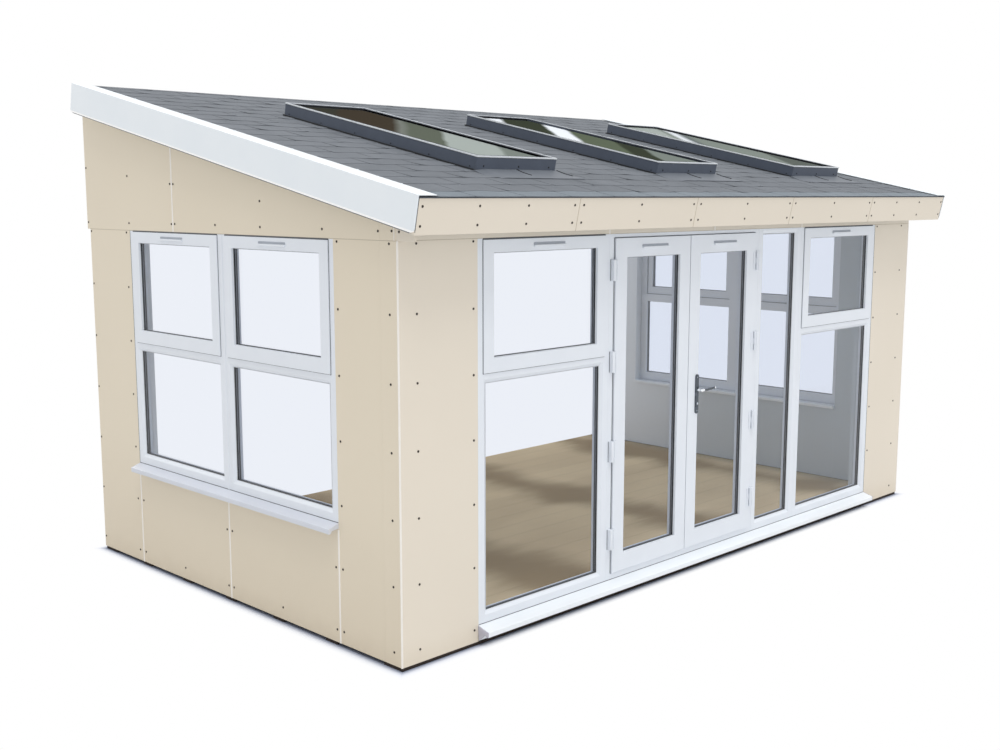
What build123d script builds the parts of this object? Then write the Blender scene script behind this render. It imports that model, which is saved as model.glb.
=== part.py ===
"""Garden office pod: a clad timber room with a mono-pitch roof and an open back.

The room leans against a house wall. Frame: origin on the ground under the middle of the
footprint, +X to the right along the glazed front, +Y to the open back, +Z up. Millimetres.
Distances called across, back and up are measured from the front left ground corner of the
walls, and converted to the frame by across() and back().
"""
import os
from math import cos, radians, sin, tan

from build123d import *

os.makedirs("parts", exist_ok=True)

# ---- Driving dimensions ---------------------------------------------------------------
WIDTH = 5185                # outside of the side walls
DEPTH = 3077                # front wall face to the open back
WALL = 130                  # wall thickness
PANEL_BASE = 20             # bottom edge of the wall panels
HEAD = 2150                 # top of the lower wall panels and of the window frames
FLOOR_TOP = 75

BEARER_PITCH = 486
FIRST_BEARER = 588          # centre of the first inner bearer
INNER_BEARERS = 5
BEARER_WIDTH = 100
END_BEARER_WIDTH = 150
BEARER_SET_BACK = (5, 4)    # from the side walls and from the front and back

# Front wall, left to right
PIER = 532
WINDOW_END = 1575
DOORS_END = 3101
SIDELIGHT_END = 3624
FRAME_FOOT = 110            # top of the front sill

# Side windows, from front to back
SIDE_WINDOW = (498, 2558)
SIDE_MULLION = (SIDE_WINDOW[0] + SIDE_WINDOW[1]) / 2
SIDE_WINDOW_FOOT = 675

# Window sections
FRAME_DEPTH = 60
FIXED_MEMBER = 65           # outer edge to the sight line of a fixed pane
BEAD_WIDTH = 20
BEAD_DEPTH = 15
SASH_SEAT = 60              # outer edge to the aperture that takes a sash
SASH_MARGIN = 38            # frame left showing beside a sash
SASH_HEAD_MARGIN = 8
SASH_MEMBER = 73
SASH_HEAD_RAIL = 66
SASH_FOOT_RAIL = 78
SASH_PROUD = 8
SASH_BODY = 44
TRANSOM = (1402, 1467)
SASH_FOOT = 1454
HEAD_MEMBER = 35
PANE = 24
FIXED_PANE_SET_BACK = 16
SASH_PANE_SET_BACK = 6

# Doors
JAMB = 42
THRESHOLD = 35
DOOR_HEAD = 21
STOP = 17                   # how far the stop stands behind the leaf's edge
STOP_DEPTH = 12
DOOR_GAP = 5
LEAF_PROUD = 10
LEAF_THICKNESS = 60
LEAF_BEVEL = 6              # the meeting edges slant, so that each leaf swings clear
STILE = 103
TOP_RAIL = 110
BOTTOM_RAIL = 109
LEAF_PANE_SET_BACK = 4
HINGE_HEIGHT = 122
HINGE_CENTRES = [360 + 528 * row for row in range(4)]
PIVOT_BACK = -20            # hinge axis, in front of the wall face
KNUCKLE_RADIUS = 8
KNUCKLE_GAP = 1
HINGE_PLATE = (22, 3)
HANDLE_HEIGHT = 1160
HANDLE_PLATE = (30, 248, 8)
HANDLE_PLATE_CENTRE = 1134
LEVER_LENGTH = 150
LEVER_STAND_OFF = 42
SPINDLE_RADIUS = 5
SPINDLE_HOLE_RADIUS = 6.5
HOLE_REACH = 200            # longer than the leaf and its plates are thick
LEVER_SECTION = (12, 16)    # out from the door, up
LEVER_ROUNDING = 7
PLATE_ROUNDING = 14

# Roof, on a plane through the top of the verge trims
ROOF_PITCH = 12
EAVES_BACK = -242
EAVES_UP = 2368
ROOF_LENGTH = 3391          # up the slope
VERGE = 80                  # side overhang
TRIM_SHEET = 10
TRIM_LIP = 120
TRIM_LIP_THICKNESS = 4
TRIM_DEPTH = 180
TRIM_CORNER = 22
SHINGLE = (9, 15)           # depths under the verge plane
SHINGLE_DRIP = 6
DECK = (15, 150)
FASCIA = (15, 190)
FASCIA_THICKNESS = 18
GABLE_END = 3112            # the gables run past the back edges of the lower walls
EAVES_END = (16, 123)       # board closing the eaves at the left: width, forward reach
REAR_HEADER = (100, 2700)   # depth back to front, underside height

ROOFLIGHT = (640, 1800)
ROOFLIGHT_START = 640       # up the slope from the eaves
ROOFLIGHT_CENTRES = [1210, 2815, 4420]
UPSTAND = 77                # above the verge plane
UPSTAND_WALL = 40
ROOFLIGHT_PANE = (40, 64)

# Sills, as section points (out from the wall face is negative, up)
SILL_SKIRT = (-6, 8)        # front and back of the sill's skirt down the floor's edge
FRONT_SILL = [(FRAME_DEPTH, 110), (0, 110), (-78, 87), (-78, 59), (-62, 59), (-56, 67),
              (SILL_SKIRT[0], 72), (SILL_SKIRT[0], 25), (SILL_SKIRT[1], 25),
              (SILL_SKIRT[1], 75), (FRAME_DEPTH, 75)]
SIDE_SILL = [(FRAME_DEPTH, 675), (0, 675), (-65, 653), (-65, 625), (-50, 625), (-44, 639),
             (0, 645), (FRAME_DEPTH, 645)]
BOARD_THICKNESS = 22
BOARD_NOSE = 20
SILL_SEAT = 645             # top of the wall under a side window


# ---- Placing helpers ------------------------------------------------------------------
def across(distance):
    """X of a distance from the outer face of the left wall."""
    return distance - WIDTH / 2


def back(distance):
    """Y of a distance behind the face of the front wall."""
    return distance - DEPTH / 2


def underside(distance):
    """Height of the roof deck's underside at a distance behind the front wall face."""
    rise = (distance - EAVES_BACK) * tan(radians(ROOF_PITCH))
    return EAVES_UP + rise - DECK[1] / cos(radians(ROOF_PITCH))


def block(x, y, z, mode=Mode.ADD):
    """A box between pairs of across, back and up distances, in the part being built."""
    centre = (across(sum(x) / 2), back(sum(y) / 2), sum(z) / 2)
    with Locations(centre):
        Box(x[1] - x[0], y[1] - y[0], z[1] - z[0], mode=mode)


def rectangle(across_pair, up_pair, mode=Mode.ADD):
    """A rectangle between two pairs of values, in the sketch being drawn."""
    with Locations((sum(across_pair) / 2, sum(up_pair) / 2)):
        Rectangle(across_pair[1] - across_pair[0], up_pair[1] - up_pair[0], mode=mode)


def write(piece, name):
    """Label a finished piece and write it as a STEP file."""
    piece.part.label = name
    export_step(piece.part, f"parts/{name}.step")


def mirrored(piece):
    """The same piece on the other side of the building."""
    with BuildPart() as other:
        add(piece.part)
        mirror(about=Plane.YZ, mode=Mode.REPLACE)
    return other


# Elevations: a drawing plane on a wall's outer face, and the way into the wall along its
# normal. On the front, drawings run across and up; on the left side, back and up.
FRONT = (Plane(origin=(across(0), back(0), 0), x_dir=(1, 0, 0), z_dir=(0, -1, 0)), -1)
LEFT = (Plane(origin=(across(0), back(0), 0), x_dir=(0, 1, 0), z_dir=(1, 0, 0)), 1)

ROOF = Plane(
    origin=(0, back(EAVES_BACK), EAVES_UP),
    x_dir=(1, 0, 0),
    z_dir=(0, -sin(radians(ROOF_PITCH)), cos(radians(ROOF_PITCH))),
)


# ---- Floor ----------------------------------------------------------------------------
bearer_run = (BEARER_SET_BACK[0], WIDTH - BEARER_SET_BACK[0])
with BuildPart() as floor_bearers:
    block(bearer_run, (BEARER_SET_BACK[1], END_BEARER_WIDTH), (0, PANEL_BASE))
    for row in range(INNER_BEARERS):
        near_edge = FIRST_BEARER + row * BEARER_PITCH - BEARER_WIDTH / 2
        block(bearer_run, (near_edge, near_edge + BEARER_WIDTH), (0, PANEL_BASE))
    block(bearer_run, (DEPTH - END_BEARER_WIDTH, DEPTH - BEARER_SET_BACK[1]), (0, PANEL_BASE))
write(floor_bearers, "floor_bearers")

with BuildPart() as floor_deck:
    block((WALL, WIDTH - WALL), (WALL, DEPTH), (PANEL_BASE, FLOOR_TOP))
    block((PIER, WIDTH - PIER), (SILL_SKIRT[1], WALL), (PANEL_BASE, FLOOR_TOP))
write(floor_deck, "floor_deck")

# ---- Walls ----------------------------------------------------------------------------
with BuildPart() as front_left_pier:
    block((0, PIER), (0, WALL), (PANEL_BASE, HEAD))
write(front_left_pier, "front_left_pier")
write(mirrored(front_left_pier), "front_right_pier")

SIDE_PANELS = {
    "wall_front_panel": ((WALL, SIDE_WINDOW[0]), HEAD),
    "wall_lower_panel": (SIDE_WINDOW, SILL_SEAT),
    "wall_back_panel": ((SIDE_WINDOW[1], DEPTH), HEAD),
}
for panel_name, (run, top) in SIDE_PANELS.items():
    with BuildPart() as side_panel:
        block((0, WALL), run, (PANEL_BASE, top))
    write(side_panel, f"left_{panel_name}")
    write(mirrored(side_panel), f"right_{panel_name}")


def sloped_panel(near, far, foot, left, width):
    """A panel under the roof: its top follows the pitch from near to far."""
    with BuildPart() as panel:
        with BuildSketch(Plane.YZ.offset(across(left))):
            with BuildLine():
                Polyline(
                    (back(near), foot),
                    (back(far), foot),
                    (back(far), underside(far)),
                    (back(near), underside(near)),
                    close=True,
                )
            make_face()
        extrude(amount=width)
    return panel


write(sloped_panel(0, WALL, HEAD, 0, WIDTH), "front_header")
write(sloped_panel(-EAVES_END[1], 0, HEAD, 0, EAVES_END[0]), "left_eaves_end")

left_gable = sloped_panel(WALL, GABLE_END, HEAD, 0, WALL)
write(left_gable, "left_gable")
write(mirrored(left_gable), "right_gable")

header_depth, header_foot = REAR_HEADER
header_start = GABLE_END - header_depth
rear_header = sloped_panel(header_start, GABLE_END, header_foot, WALL, WIDTH - 2 * WALL)
write(rear_header, "rear_header")


# ---- Windows --------------------------------------------------------------------------
def inset(outer, member, foot=None, head=None):
    """The opening left inside an outline by members of one width, or a named foot and head."""
    (start, end), (bottom, top) = outer
    opening_bottom = bottom + member if foot is None else foot
    opening_top = top - member if head is None else head
    return (start + member, end - member), (opening_bottom, opening_top)


def layer(elevation, outline, near, far, opening=None):
    """A flat piece on an elevation from depth near to depth far, with one opening."""
    plane, inward = elevation
    with BuildPart() as piece:
        with BuildSketch(plane.offset(inward * near)):
            rectangle(*outline)
            if opening is not None:
                rectangle(*opening, mode=Mode.SUBTRACT)
        extrude(amount=inward * (far - near))
    return piece


def window_frame(elevation, outer, fixed_lights, sash_lights):
    """A frame with bevelled openings for fixed panes and plain ones for sashes."""
    plane, inward = elevation
    frame = layer(elevation, outer, 0, FRAME_DEPTH)
    with BuildPart() as finished:
        add(frame.part)
        for light in fixed_lights + sash_lights:
            with BuildSketch(plane):
                rectangle(*light)
            extrude(amount=inward * FRAME_DEPTH, mode=Mode.SUBTRACT)
        for start_end, bottom_top in fixed_lights:
            wide = (start_end[0] - BEAD_WIDTH, start_end[1] + BEAD_WIDTH)
            tall = (bottom_top[0] - BEAD_WIDTH, bottom_top[1] + BEAD_WIDTH)
            with BuildSketch(plane):
                rectangle(wide, tall)
            with BuildSketch(plane.offset(inward * BEAD_DEPTH)):
                rectangle(start_end, bottom_top)
            loft(mode=Mode.SUBTRACT)
    return finished


def sash_light(outer):
    """The opening of a sash, whose foot rail is deeper than its head rail."""
    foot, head = outer[1]
    return inset(outer, SASH_MEMBER, foot=foot + SASH_FOOT_RAIL, head=head - SASH_HEAD_RAIL)


def sash(elevation, outer, seat):
    """A top-hung sash: a flange over the frame's face and a body in its aperture."""
    opening = sash_light(outer)
    flange = layer(elevation, outer, -SASH_PROUD, 0, opening)
    body = layer(elevation, seat, 0, SASH_BODY, opening)
    with BuildPart() as finished:
        add(flange.part)
        add(body.part)
    return finished


def merged(pieces):
    """Several pieces as one part."""
    with BuildPart() as group:
        for piece in pieces:
            add(piece.part)
    return group


def two_row_window(outer_run, foot):
    """Openings of one column: a fixed light below the transom and a sash above it."""
    outer = (outer_run, (foot, HEAD))
    fixed = inset(outer, FIXED_MEMBER, head=TRANSOM[0])
    seat = inset(outer, SASH_SEAT, foot=TRANSOM[1], head=HEAD - SASH_SEAT + SASH_HEAD_MARGIN)
    sash_outer = inset(outer, SASH_MARGIN, foot=SASH_FOOT, head=HEAD - SASH_HEAD_MARGIN)
    return fixed, seat, sash_outer


FRONT_WINDOWS = {
    "front_left": (PIER, WINDOW_END),
    "front_right": (SIDELIGHT_END, WIDTH - PIER),
}
front_panes = []
front_sashes = []
for window_name, run in FRONT_WINDOWS.items():
    fixed, seat, sash_outer = two_row_window(run, FRAME_FOOT)
    front_frame = window_frame(FRONT, (run, (FRAME_FOOT, HEAD)), [fixed], [seat])
    write(front_frame, f"{window_name}_window_frame")
    front_sashes.append(sash(FRONT, sash_outer, seat))
    front_panes.append(layer(FRONT, fixed, FIXED_PANE_SET_BACK, FIXED_PANE_SET_BACK + PANE))
    sight = sash_light(sash_outer)
    front_panes.append(layer(FRONT, sight, SASH_PANE_SET_BACK, SASH_PANE_SET_BACK + PANE))

sidelight_outer = ((DOORS_END, SIDELIGHT_END), (FRAME_FOOT, HEAD))
sidelight_light = inset(sidelight_outer, FIXED_MEMBER, head=HEAD - HEAD_MEMBER)
sidelight_frame = window_frame(FRONT, sidelight_outer, [sidelight_light], [])
write(sidelight_frame, "sidelight_frame")
front_panes.append(layer(FRONT, sidelight_light, FIXED_PANE_SET_BACK, FIXED_PANE_SET_BACK + PANE))

write(merged(front_sashes), "front_window_sashes")
write(merged(front_panes), "front_window_glass")

side_fixed = []
side_seats = []
side_sashes = []
side_panes = []
for run in ((SIDE_WINDOW[0], SIDE_MULLION), (SIDE_MULLION, SIDE_WINDOW[1])):
    fixed, seat, sash_outer = two_row_window(run, SIDE_WINDOW_FOOT)
    side_fixed.append(fixed)
    side_seats.append(seat)
    side_sashes.append(sash(LEFT, sash_outer, seat))
    side_panes.append(layer(LEFT, fixed, FIXED_PANE_SET_BACK, FIXED_PANE_SET_BACK + PANE))
    sight = sash_light(sash_outer)
    side_panes.append(layer(LEFT, sight, SASH_PANE_SET_BACK, SASH_PANE_SET_BACK + PANE))

side_outer = (SIDE_WINDOW, (SIDE_WINDOW_FOOT, HEAD))
side_frame = window_frame(LEFT, side_outer, side_fixed, side_seats)
write(side_frame, "left_window_frame")
write(mirrored(side_frame), "right_window_frame")
left_sashes = merged(side_sashes)
write(left_sashes, "left_window_sashes")
write(mirrored(left_sashes), "right_window_sashes")
left_glass = merged(side_panes)
write(left_glass, "left_window_glass")
write(mirrored(left_glass), "right_window_glass")

# ---- Sills and window boards ----------------------------------------------------------
with BuildPart() as front_sill:
    with BuildSketch(Plane.YZ.offset(across(PIER))):
        with BuildLine():
            Polyline([(back(out), up) for out, up in FRONT_SILL], close=True)
        make_face()
    extrude(amount=WIDTH - 2 * PIER)
write(front_sill, "front_sill")

with BuildPart() as left_sill:
    with BuildSketch(Plane.XZ.offset(-back(SIDE_WINDOW[0]))):
        with BuildLine():
            Polyline([(across(out), up) for out, up in SIDE_SILL], close=True)
        make_face()
    extrude(amount=-(SIDE_WINDOW[1] - SIDE_WINDOW[0]))
with BuildPart() as side_sills:
    add(left_sill.part)
    mirror(left_sill.part, about=Plane.YZ)
write(side_sills, "side_window_sills")

with BuildPart() as window_boards:
    board_top = SILL_SEAT + BOARD_THICKNESS
    block((FRAME_DEPTH, WALL + BOARD_NOSE), SIDE_WINDOW, (SILL_SEAT, board_top))
    mirror(about=Plane.YZ)
write(window_boards, "window_boards")

# ---- Doors ----------------------------------------------------------------------------
LEAF_START = WINDOW_END + JAMB + DOOR_GAP
LEAF_END = DOORS_END - JAMB - DOOR_GAP
MEETING = (LEAF_START + LEAF_END) / 2
LEAF_FOOT = FRAME_FOOT + THRESHOLD + DOOR_GAP
LEAF_TOP = HEAD - DOOR_HEAD - DOOR_GAP
STOP_FACE = LEAF_THICKNESS - LEAF_PROUD + DOOR_GAP

with BuildPart() as door_frame:
    doorway = (WINDOW_END + JAMB, DOORS_END - JAMB), (FRAME_FOOT + THRESHOLD, HEAD - DOOR_HEAD)
    doorway_outer = (WINDOW_END, DOORS_END), (FRAME_FOOT, HEAD)
    front_plane, front_inward = FRONT
    with BuildSketch(front_plane):
        rectangle(*doorway_outer)
        rectangle(*doorway, mode=Mode.SUBTRACT)
    extrude(amount=front_inward * STOP_FACE)
    with BuildSketch(front_plane.offset(front_inward * STOP_FACE)):
        rectangle(*doorway_outer)
        rectangle(*inset(doorway, STOP), mode=Mode.SUBTRACT)
    extrude(amount=front_inward * STOP_DEPTH)
write(door_frame, "door_frame")

leaf_rise = (LEAF_FOOT, LEAF_TOP)
leaf_back = LEAF_THICKNESS - LEAF_PROUD
handle_across = MEETING + DOOR_GAP / 2 + STILE - HANDLE_PLATE[0] / 2


def door_leaf(hinge_edge, meeting_edge):
    """A leaf whose meeting edge slants back from its face."""
    toward_hinge = 1 if hinge_edge > meeting_edge else -1
    sight_run = sorted((hinge_edge - toward_hinge * STILE, meeting_edge + toward_hinge * STILE))
    sight = (sight_run, (LEAF_FOOT + BOTTOM_RAIL, LEAF_TOP - TOP_RAIL))
    plane, inward = FRONT
    with BuildPart() as leaf:
        with BuildSketch(Plane.XY.offset(LEAF_FOOT)):
            with BuildLine():
                Polyline(
                    (across(hinge_edge), back(-LEAF_PROUD)),
                    (across(meeting_edge), back(-LEAF_PROUD)),
                    (across(meeting_edge + toward_hinge * LEAF_BEVEL), back(leaf_back)),
                    (across(hinge_edge), back(leaf_back)),
                    close=True,
                )
            make_face()
        extrude(amount=LEAF_TOP - LEAF_FOOT)
        with BuildSketch(plane.offset(-inward * LEAF_PROUD)):
            rectangle(*sight)
        extrude(amount=inward * LEAF_THICKNESS, mode=Mode.SUBTRACT)
    pane = layer(FRONT, sight, LEAF_PANE_SET_BACK, LEAF_PANE_SET_BACK + PANE)
    return leaf, pane


left_leaf, left_pane = door_leaf(LEAF_START, MEETING - DOOR_GAP / 2)
write(left_leaf, "door_left_leaf")
write(left_pane, "door_left_glass")

plain_right_leaf, right_pane = door_leaf(LEAF_END, MEETING + DOOR_GAP / 2)
with BuildPart() as right_leaf:
    add(plain_right_leaf.part)
    with Locations(Plane(origin=(across(handle_across), back(0), HANDLE_HEIGHT), z_dir=(0, 1, 0))):
        Cylinder(SPINDLE_HOLE_RADIUS, HOLE_REACH, mode=Mode.SUBTRACT)
write(right_leaf, "door_right_leaf")
write(right_pane, "door_right_glass")

# Hinges: frame and leaf each carry a plate, joined by necks to knuckles on one axis.
# The leaf has the middle knuckle and the frame the two outer ones.
LEFT_PIVOT = LEAF_START - DOOR_GAP / 2
RIGHT_PIVOT = LEAF_END + DOOR_GAP / 2
knuckle_third = HINGE_HEIGHT / 3


def hinge_half(pivot, side, face, spans):
    """Plates and knuckles beside the pivots. side is +1 where the plates lie to the right."""
    plate_width, plate_thickness = HINGE_PLATE
    inner = pivot + side * (KNUCKLE_RADIUS + KNUCKLE_GAP)
    outer = inner + side * plate_width
    neck = sorted((pivot, inner + side * KNUCKLE_GAP))
    with BuildPart() as half:
        for centre in HINGE_CENTRES:
            rise = (centre - HINGE_HEIGHT / 2, centre + HINGE_HEIGHT / 2)
            block(sorted((inner, outer)), (face - plate_thickness, face), rise)
            for low, high in spans:
                span = (centre + low + KNUCKLE_GAP / 2, centre + high - KNUCKLE_GAP / 2)
                block(neck, (PIVOT_BACK, face), span)
                with Locations((across(pivot), back(PIVOT_BACK), sum(span) / 2)):
                    Cylinder(KNUCKLE_RADIUS, span[1] - span[0])
    return half


LEAF_SPANS = [(-knuckle_third / 2, knuckle_third / 2)]
FRAME_SPANS = [
    (-HINGE_HEIGHT / 2, -knuckle_third / 2),
    (knuckle_third / 2, HINGE_HEIGHT / 2),
]
write(hinge_half(LEFT_PIVOT, 1, -LEAF_PROUD, LEAF_SPANS), "door_left_hinges")
write(hinge_half(RIGHT_PIVOT, -1, -LEAF_PROUD, LEAF_SPANS), "door_right_hinges")
frame_hinges = merged(
    [
        hinge_half(LEFT_PIVOT, -1, 0, FRAME_SPANS),
        hinge_half(RIGHT_PIVOT, 1, 0, FRAME_SPANS),
    ]
)
write(frame_hinges, "door_frame_hinges")

# Handle: a long plate on each face of the right leaf, and two levers on one spindle
plate_across, plate_up, plate_thickness = HANDLE_PLATE
plate_run = (handle_across - plate_across / 2, handle_across + plate_across / 2)
plate_rise = (HANDLE_PLATE_CENTRE - plate_up / 2, HANDLE_PLATE_CENTRE + plate_up / 2)
spindle_axis = Plane(origin=(across(handle_across), back(0), HANDLE_HEIGHT), z_dir=(0, 1, 0))

with BuildPart() as handle_plates:
    block(plate_run, (-LEAF_PROUD - plate_thickness, -LEAF_PROUD), plate_rise)
    block(plate_run, (leaf_back, leaf_back + plate_thickness), plate_rise)
    fillet(handle_plates.edges().filter_by(Axis.Y), radius=PLATE_ROUNDING)
    with Locations(spindle_axis):
        Cylinder(SPINDLE_HOLE_RADIUS, HOLE_REACH, mode=Mode.SUBTRACT)
write(handle_plates, "door_handle_plates")

with BuildPart() as handle_levers:
    outer_lever = -LEAF_PROUD - LEVER_STAND_OFF
    inner_lever = leaf_back + LEVER_STAND_OFF
    for lever_back in (outer_lever, inner_lever):
        with Locations((across(handle_across + LEVER_LENGTH / 2), back(lever_back), HANDLE_HEIGHT)):
            Box(LEVER_LENGTH + LEVER_SECTION[1], *LEVER_SECTION)
    fillet(handle_levers.edges().filter_by(Axis.Y), radius=LEVER_ROUNDING)
    spindle_centre = (outer_lever + inner_lever) / 2
    with Locations(spindle_axis.offset(spindle_centre)):
        Cylinder(SPINDLE_RADIUS, inner_lever - outer_lever)
write(handle_levers, "door_handle_levers")


# ---- Roof -----------------------------------------------------------------------------
def roof_layer(depths, run, half_width, openings=None):
    """A sheet parallel to the roof between two depths under the verge plane."""
    with BuildPart() as sheet:
        with BuildSketch(ROOF.offset(-depths[1])):
            rectangle((-half_width, half_width), run)
            if openings is not None:
                for centre in ROOFLIGHT_CENTRES:
                    with Locations((across(centre), ROOFLIGHT_START + ROOFLIGHT[1] / 2)):
                        Rectangle(*openings, mode=Mode.SUBTRACT)
        extrude(amount=depths[1] - depths[0])
    return sheet


ROOF_HALF = WIDTH / 2 + VERGE
SHEET_HALF = ROOF_HALF - TRIM_SHEET
SHAFT = (ROOFLIGHT[0] - 2 * UPSTAND_WALL, ROOFLIGHT[1] - 2 * UPSTAND_WALL)

write(roof_layer(DECK, (FASCIA_THICKNESS, ROOF_LENGTH), SHEET_HALF, SHAFT), "roof_deck")
write(roof_layer(SHINGLE, (-SHINGLE_DRIP, ROOF_LENGTH), SHEET_HALF, ROOFLIGHT), "roof_shingles")
write(roof_layer(FASCIA, (0, FASCIA_THICKNESS), SHEET_HALF), "front_fascia")

with BuildPart() as right_verge_trim:
    with BuildSketch(ROOF.offset(-TRIM_DEPTH)):
        rectangle((SHEET_HALF, ROOF_HALF), (0, ROOF_LENGTH))
    extrude(amount=TRIM_DEPTH)
    with BuildSketch(ROOF.offset(-TRIM_LIP_THICKNESS)):
        rectangle((ROOF_HALF - TRIM_LIP, ROOF_HALF), (0, ROOF_LENGTH))
    extrude(amount=TRIM_LIP_THICKNESS)
    lower_edges = right_verge_trim.edges().filter_by(Axis.X).group_by(Axis.Z)[0]
    fillet(lower_edges, radius=TRIM_CORNER)
write(right_verge_trim, "right_verge_trim")
write(mirrored(right_verge_trim), "left_verge_trim")

ROOFLIGHT_NAMES = ["left", "middle", "right"]
rooflight_panes = []
for place, centre in zip(ROOFLIGHT_NAMES, ROOFLIGHT_CENTRES):
    with BuildPart() as upstand:
        with BuildSketch(ROOF.offset(-DECK[0])):
            with Locations((across(centre), ROOFLIGHT_START + ROOFLIGHT[1] / 2)):
                Rectangle(*ROOFLIGHT)
                Rectangle(*SHAFT, mode=Mode.SUBTRACT)
        extrude(amount=DECK[0] + UPSTAND)
    write(upstand, f"rooflight_{place}_upstand")
    with BuildPart() as pane:
        with BuildSketch(ROOF.offset(ROOFLIGHT_PANE[0])):
            with Locations((across(centre), ROOFLIGHT_START + ROOFLIGHT[1] / 2)):
                Rectangle(*SHAFT)
        extrude(amount=ROOFLIGHT_PANE[1] - ROOFLIGHT_PANE[0])
    rooflight_panes.append(pane)
write(merged(rooflight_panes), "rooflight_glass")

print("door hinge axes, mm:", across(LEFT_PIVOT), across(RIGHT_PIVOT), back(PIVOT_BACK))
print("handle axis, mm:", across(handle_across), back(0), HANDLE_HEIGHT)
print("doorway, mm:", [across(value) for value in doorway[0]], doorway[1])
print("roof underside at the front and back, mm:", underside(0), underside(GABLE_END))
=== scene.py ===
# %% [markdown]
# # A garden office pod, dressed around its frame
# The packed part gives the boards, frames, doors and roof in their true places. This file
# adds what a maker fits last: finishes, cover strips, screws, shingles, flashings, glazing
# seals and the door handle. Everything is in metres, with +X along the glazed front, +Y to
# the open back and +Z up.

# %% Load the frame
import random
from math import cos, pi, radians, sin

import bmesh
import bpy
from mathutils import Matrix, Vector


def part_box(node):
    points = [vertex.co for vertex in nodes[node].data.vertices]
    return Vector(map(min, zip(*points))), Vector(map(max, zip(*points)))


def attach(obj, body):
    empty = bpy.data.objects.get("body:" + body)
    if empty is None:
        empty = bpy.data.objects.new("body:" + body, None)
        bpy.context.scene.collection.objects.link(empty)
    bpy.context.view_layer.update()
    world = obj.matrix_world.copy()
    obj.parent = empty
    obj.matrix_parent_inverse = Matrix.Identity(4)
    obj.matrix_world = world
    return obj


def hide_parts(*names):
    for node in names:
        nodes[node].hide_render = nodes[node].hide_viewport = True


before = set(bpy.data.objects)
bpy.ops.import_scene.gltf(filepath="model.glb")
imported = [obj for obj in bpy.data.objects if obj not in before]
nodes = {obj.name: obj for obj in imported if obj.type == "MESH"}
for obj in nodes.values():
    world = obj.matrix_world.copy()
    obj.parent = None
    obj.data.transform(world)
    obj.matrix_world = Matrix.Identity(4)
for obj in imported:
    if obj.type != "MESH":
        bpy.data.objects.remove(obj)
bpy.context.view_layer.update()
random.seed(12)

# %% [markdown]
# ## Faces to measure from
# A joiner sets out each wall on its own: so far along, so far up, so far out. A matrix per
# face keeps that habit. Its three columns are the face's own directions, and one multiply
# carries a point into the shared frame, also on the sloping roof.

# %% Faces of the building
PITCH = radians(12)
UP_SLOPE = Vector((0, cos(PITCH), sin(PITCH)))
ROOF_NORMAL = Vector((0, -sin(PITCH), cos(PITCH)))


def face(origin, along, up, out):
    """A matrix from a face's along, up and out distances to the shared frame."""
    turn = Matrix((along, up, out)).transposed().to_4x4()
    return Matrix.Translation(origin) @ turn


wall_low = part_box("left_wall_front_panel")[0]
front_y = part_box("front_left_pier")[0].y
trim_points = [v.co for v in nodes["left_verge_trim"].data.vertices]
eaves = UP_SLOPE * min(p.dot(UP_SLOPE) for p in trim_points)
eaves += ROOF_NORMAL * max(p.dot(ROOF_NORMAL) for p in trim_points)

LEFT_X = wall_low.x
AXIS_X, AXIS_Y, AXIS_Z = Vector((1, 0, 0)), Vector((0, 1, 0)), Vector((0, 0, 1))
FRONT = face(Vector((LEFT_X, front_y, 0)), AXIS_X, AXIS_Z, -AXIS_Y)
LEFT = face(Vector((LEFT_X, front_y, 0)), AXIS_Y, AXIS_Z, -AXIS_X)
RIGHT = face(Vector((-LEFT_X, front_y, 0)), AXIS_Y, AXIS_Z, AXIS_X)
ROOF = face(Vector((LEFT_X, eaves.y, eaves.z)), AXIS_X, UP_SLOPE, ROOF_NORMAL)
EAVES = face(Vector((LEFT_X, eaves.y, eaves.z)), AXIS_X, ROOF_NORMAL, -UP_SLOPE)
WIDTH = -2 * LEFT_X
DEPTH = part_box("left_wall_back_panel")[1].y - front_y
print("walls", round(WIDTH, 3), "by", round(DEPTH, 3), "eaves at", eaves)

# %% [markdown]
# ## Reading separate solids
# Some CAD nodes hold several like solids, such as the panes of one wall. Seals and vents
# belong to each one, so the welded mesh is walked from point to point, and each island
# gives its own box, measured in the directions of the face that it sits on.


# %% Boxes of the solids in a node
REAR_SKIN = 0.0005          # points this near to the deepest one are on the rear face


def boxes_in(node, place, rear=False):
    """The along, up and out ranges of each separate solid, or of its rear face, on a face."""
    mesh = bmesh.new()
    mesh.from_mesh(nodes[node].data)
    bmesh.ops.remove_doubles(mesh, verts=mesh.verts, dist=1e-5)
    into_face = place.inverted()
    unseen = set(mesh.verts)
    found = []
    while unseen:
        waiting = [unseen.pop()]
        island = []
        while waiting:
            point = waiting.pop()
            island.append(into_face @ point.co)
            for edge in point.link_edges:
                other = edge.other_vert(point)
                if other in unseen:
                    unseen.remove(other)
                    waiting.append(other)
        if rear:
            deepest = min(point.z for point in island)
            island = [point for point in island if point.z < deepest + REAR_SKIN]
        found.append([(min(values), max(values)) for values in zip(*island)])
    mesh.free()
    return sorted(found)


print(len(boxes_in("front_window_glass", FRONT)), "panes in the front windows")

# %% [markdown]
# ## A short hand for shader nodes
# A finish is a small sum: this tone plus a little mottle, less along an edge. Written as
# node clicks it is long, so a socket is wrapped in a class with the sums' own signs.


# %% Colours and wires
def srgb(red, green, blue):
    """A colour from 0 to 255 as the linear values that shaders work in."""
    scaled = [value / 255 for value in (red, green, blue)]
    return tuple(c / 12.92 if c <= 0.04045 else ((c + 0.055) / 1.055) ** 2.4 for c in scaled) + (1,)


def sign(operation, swapped=False):
    """The method for one of Python's signs, which adds its Math node."""
    def add_node(self, other=0.0):
        return self.math(operation, other, self) if swapped else self.math(operation, self, other)

    return add_node


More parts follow.
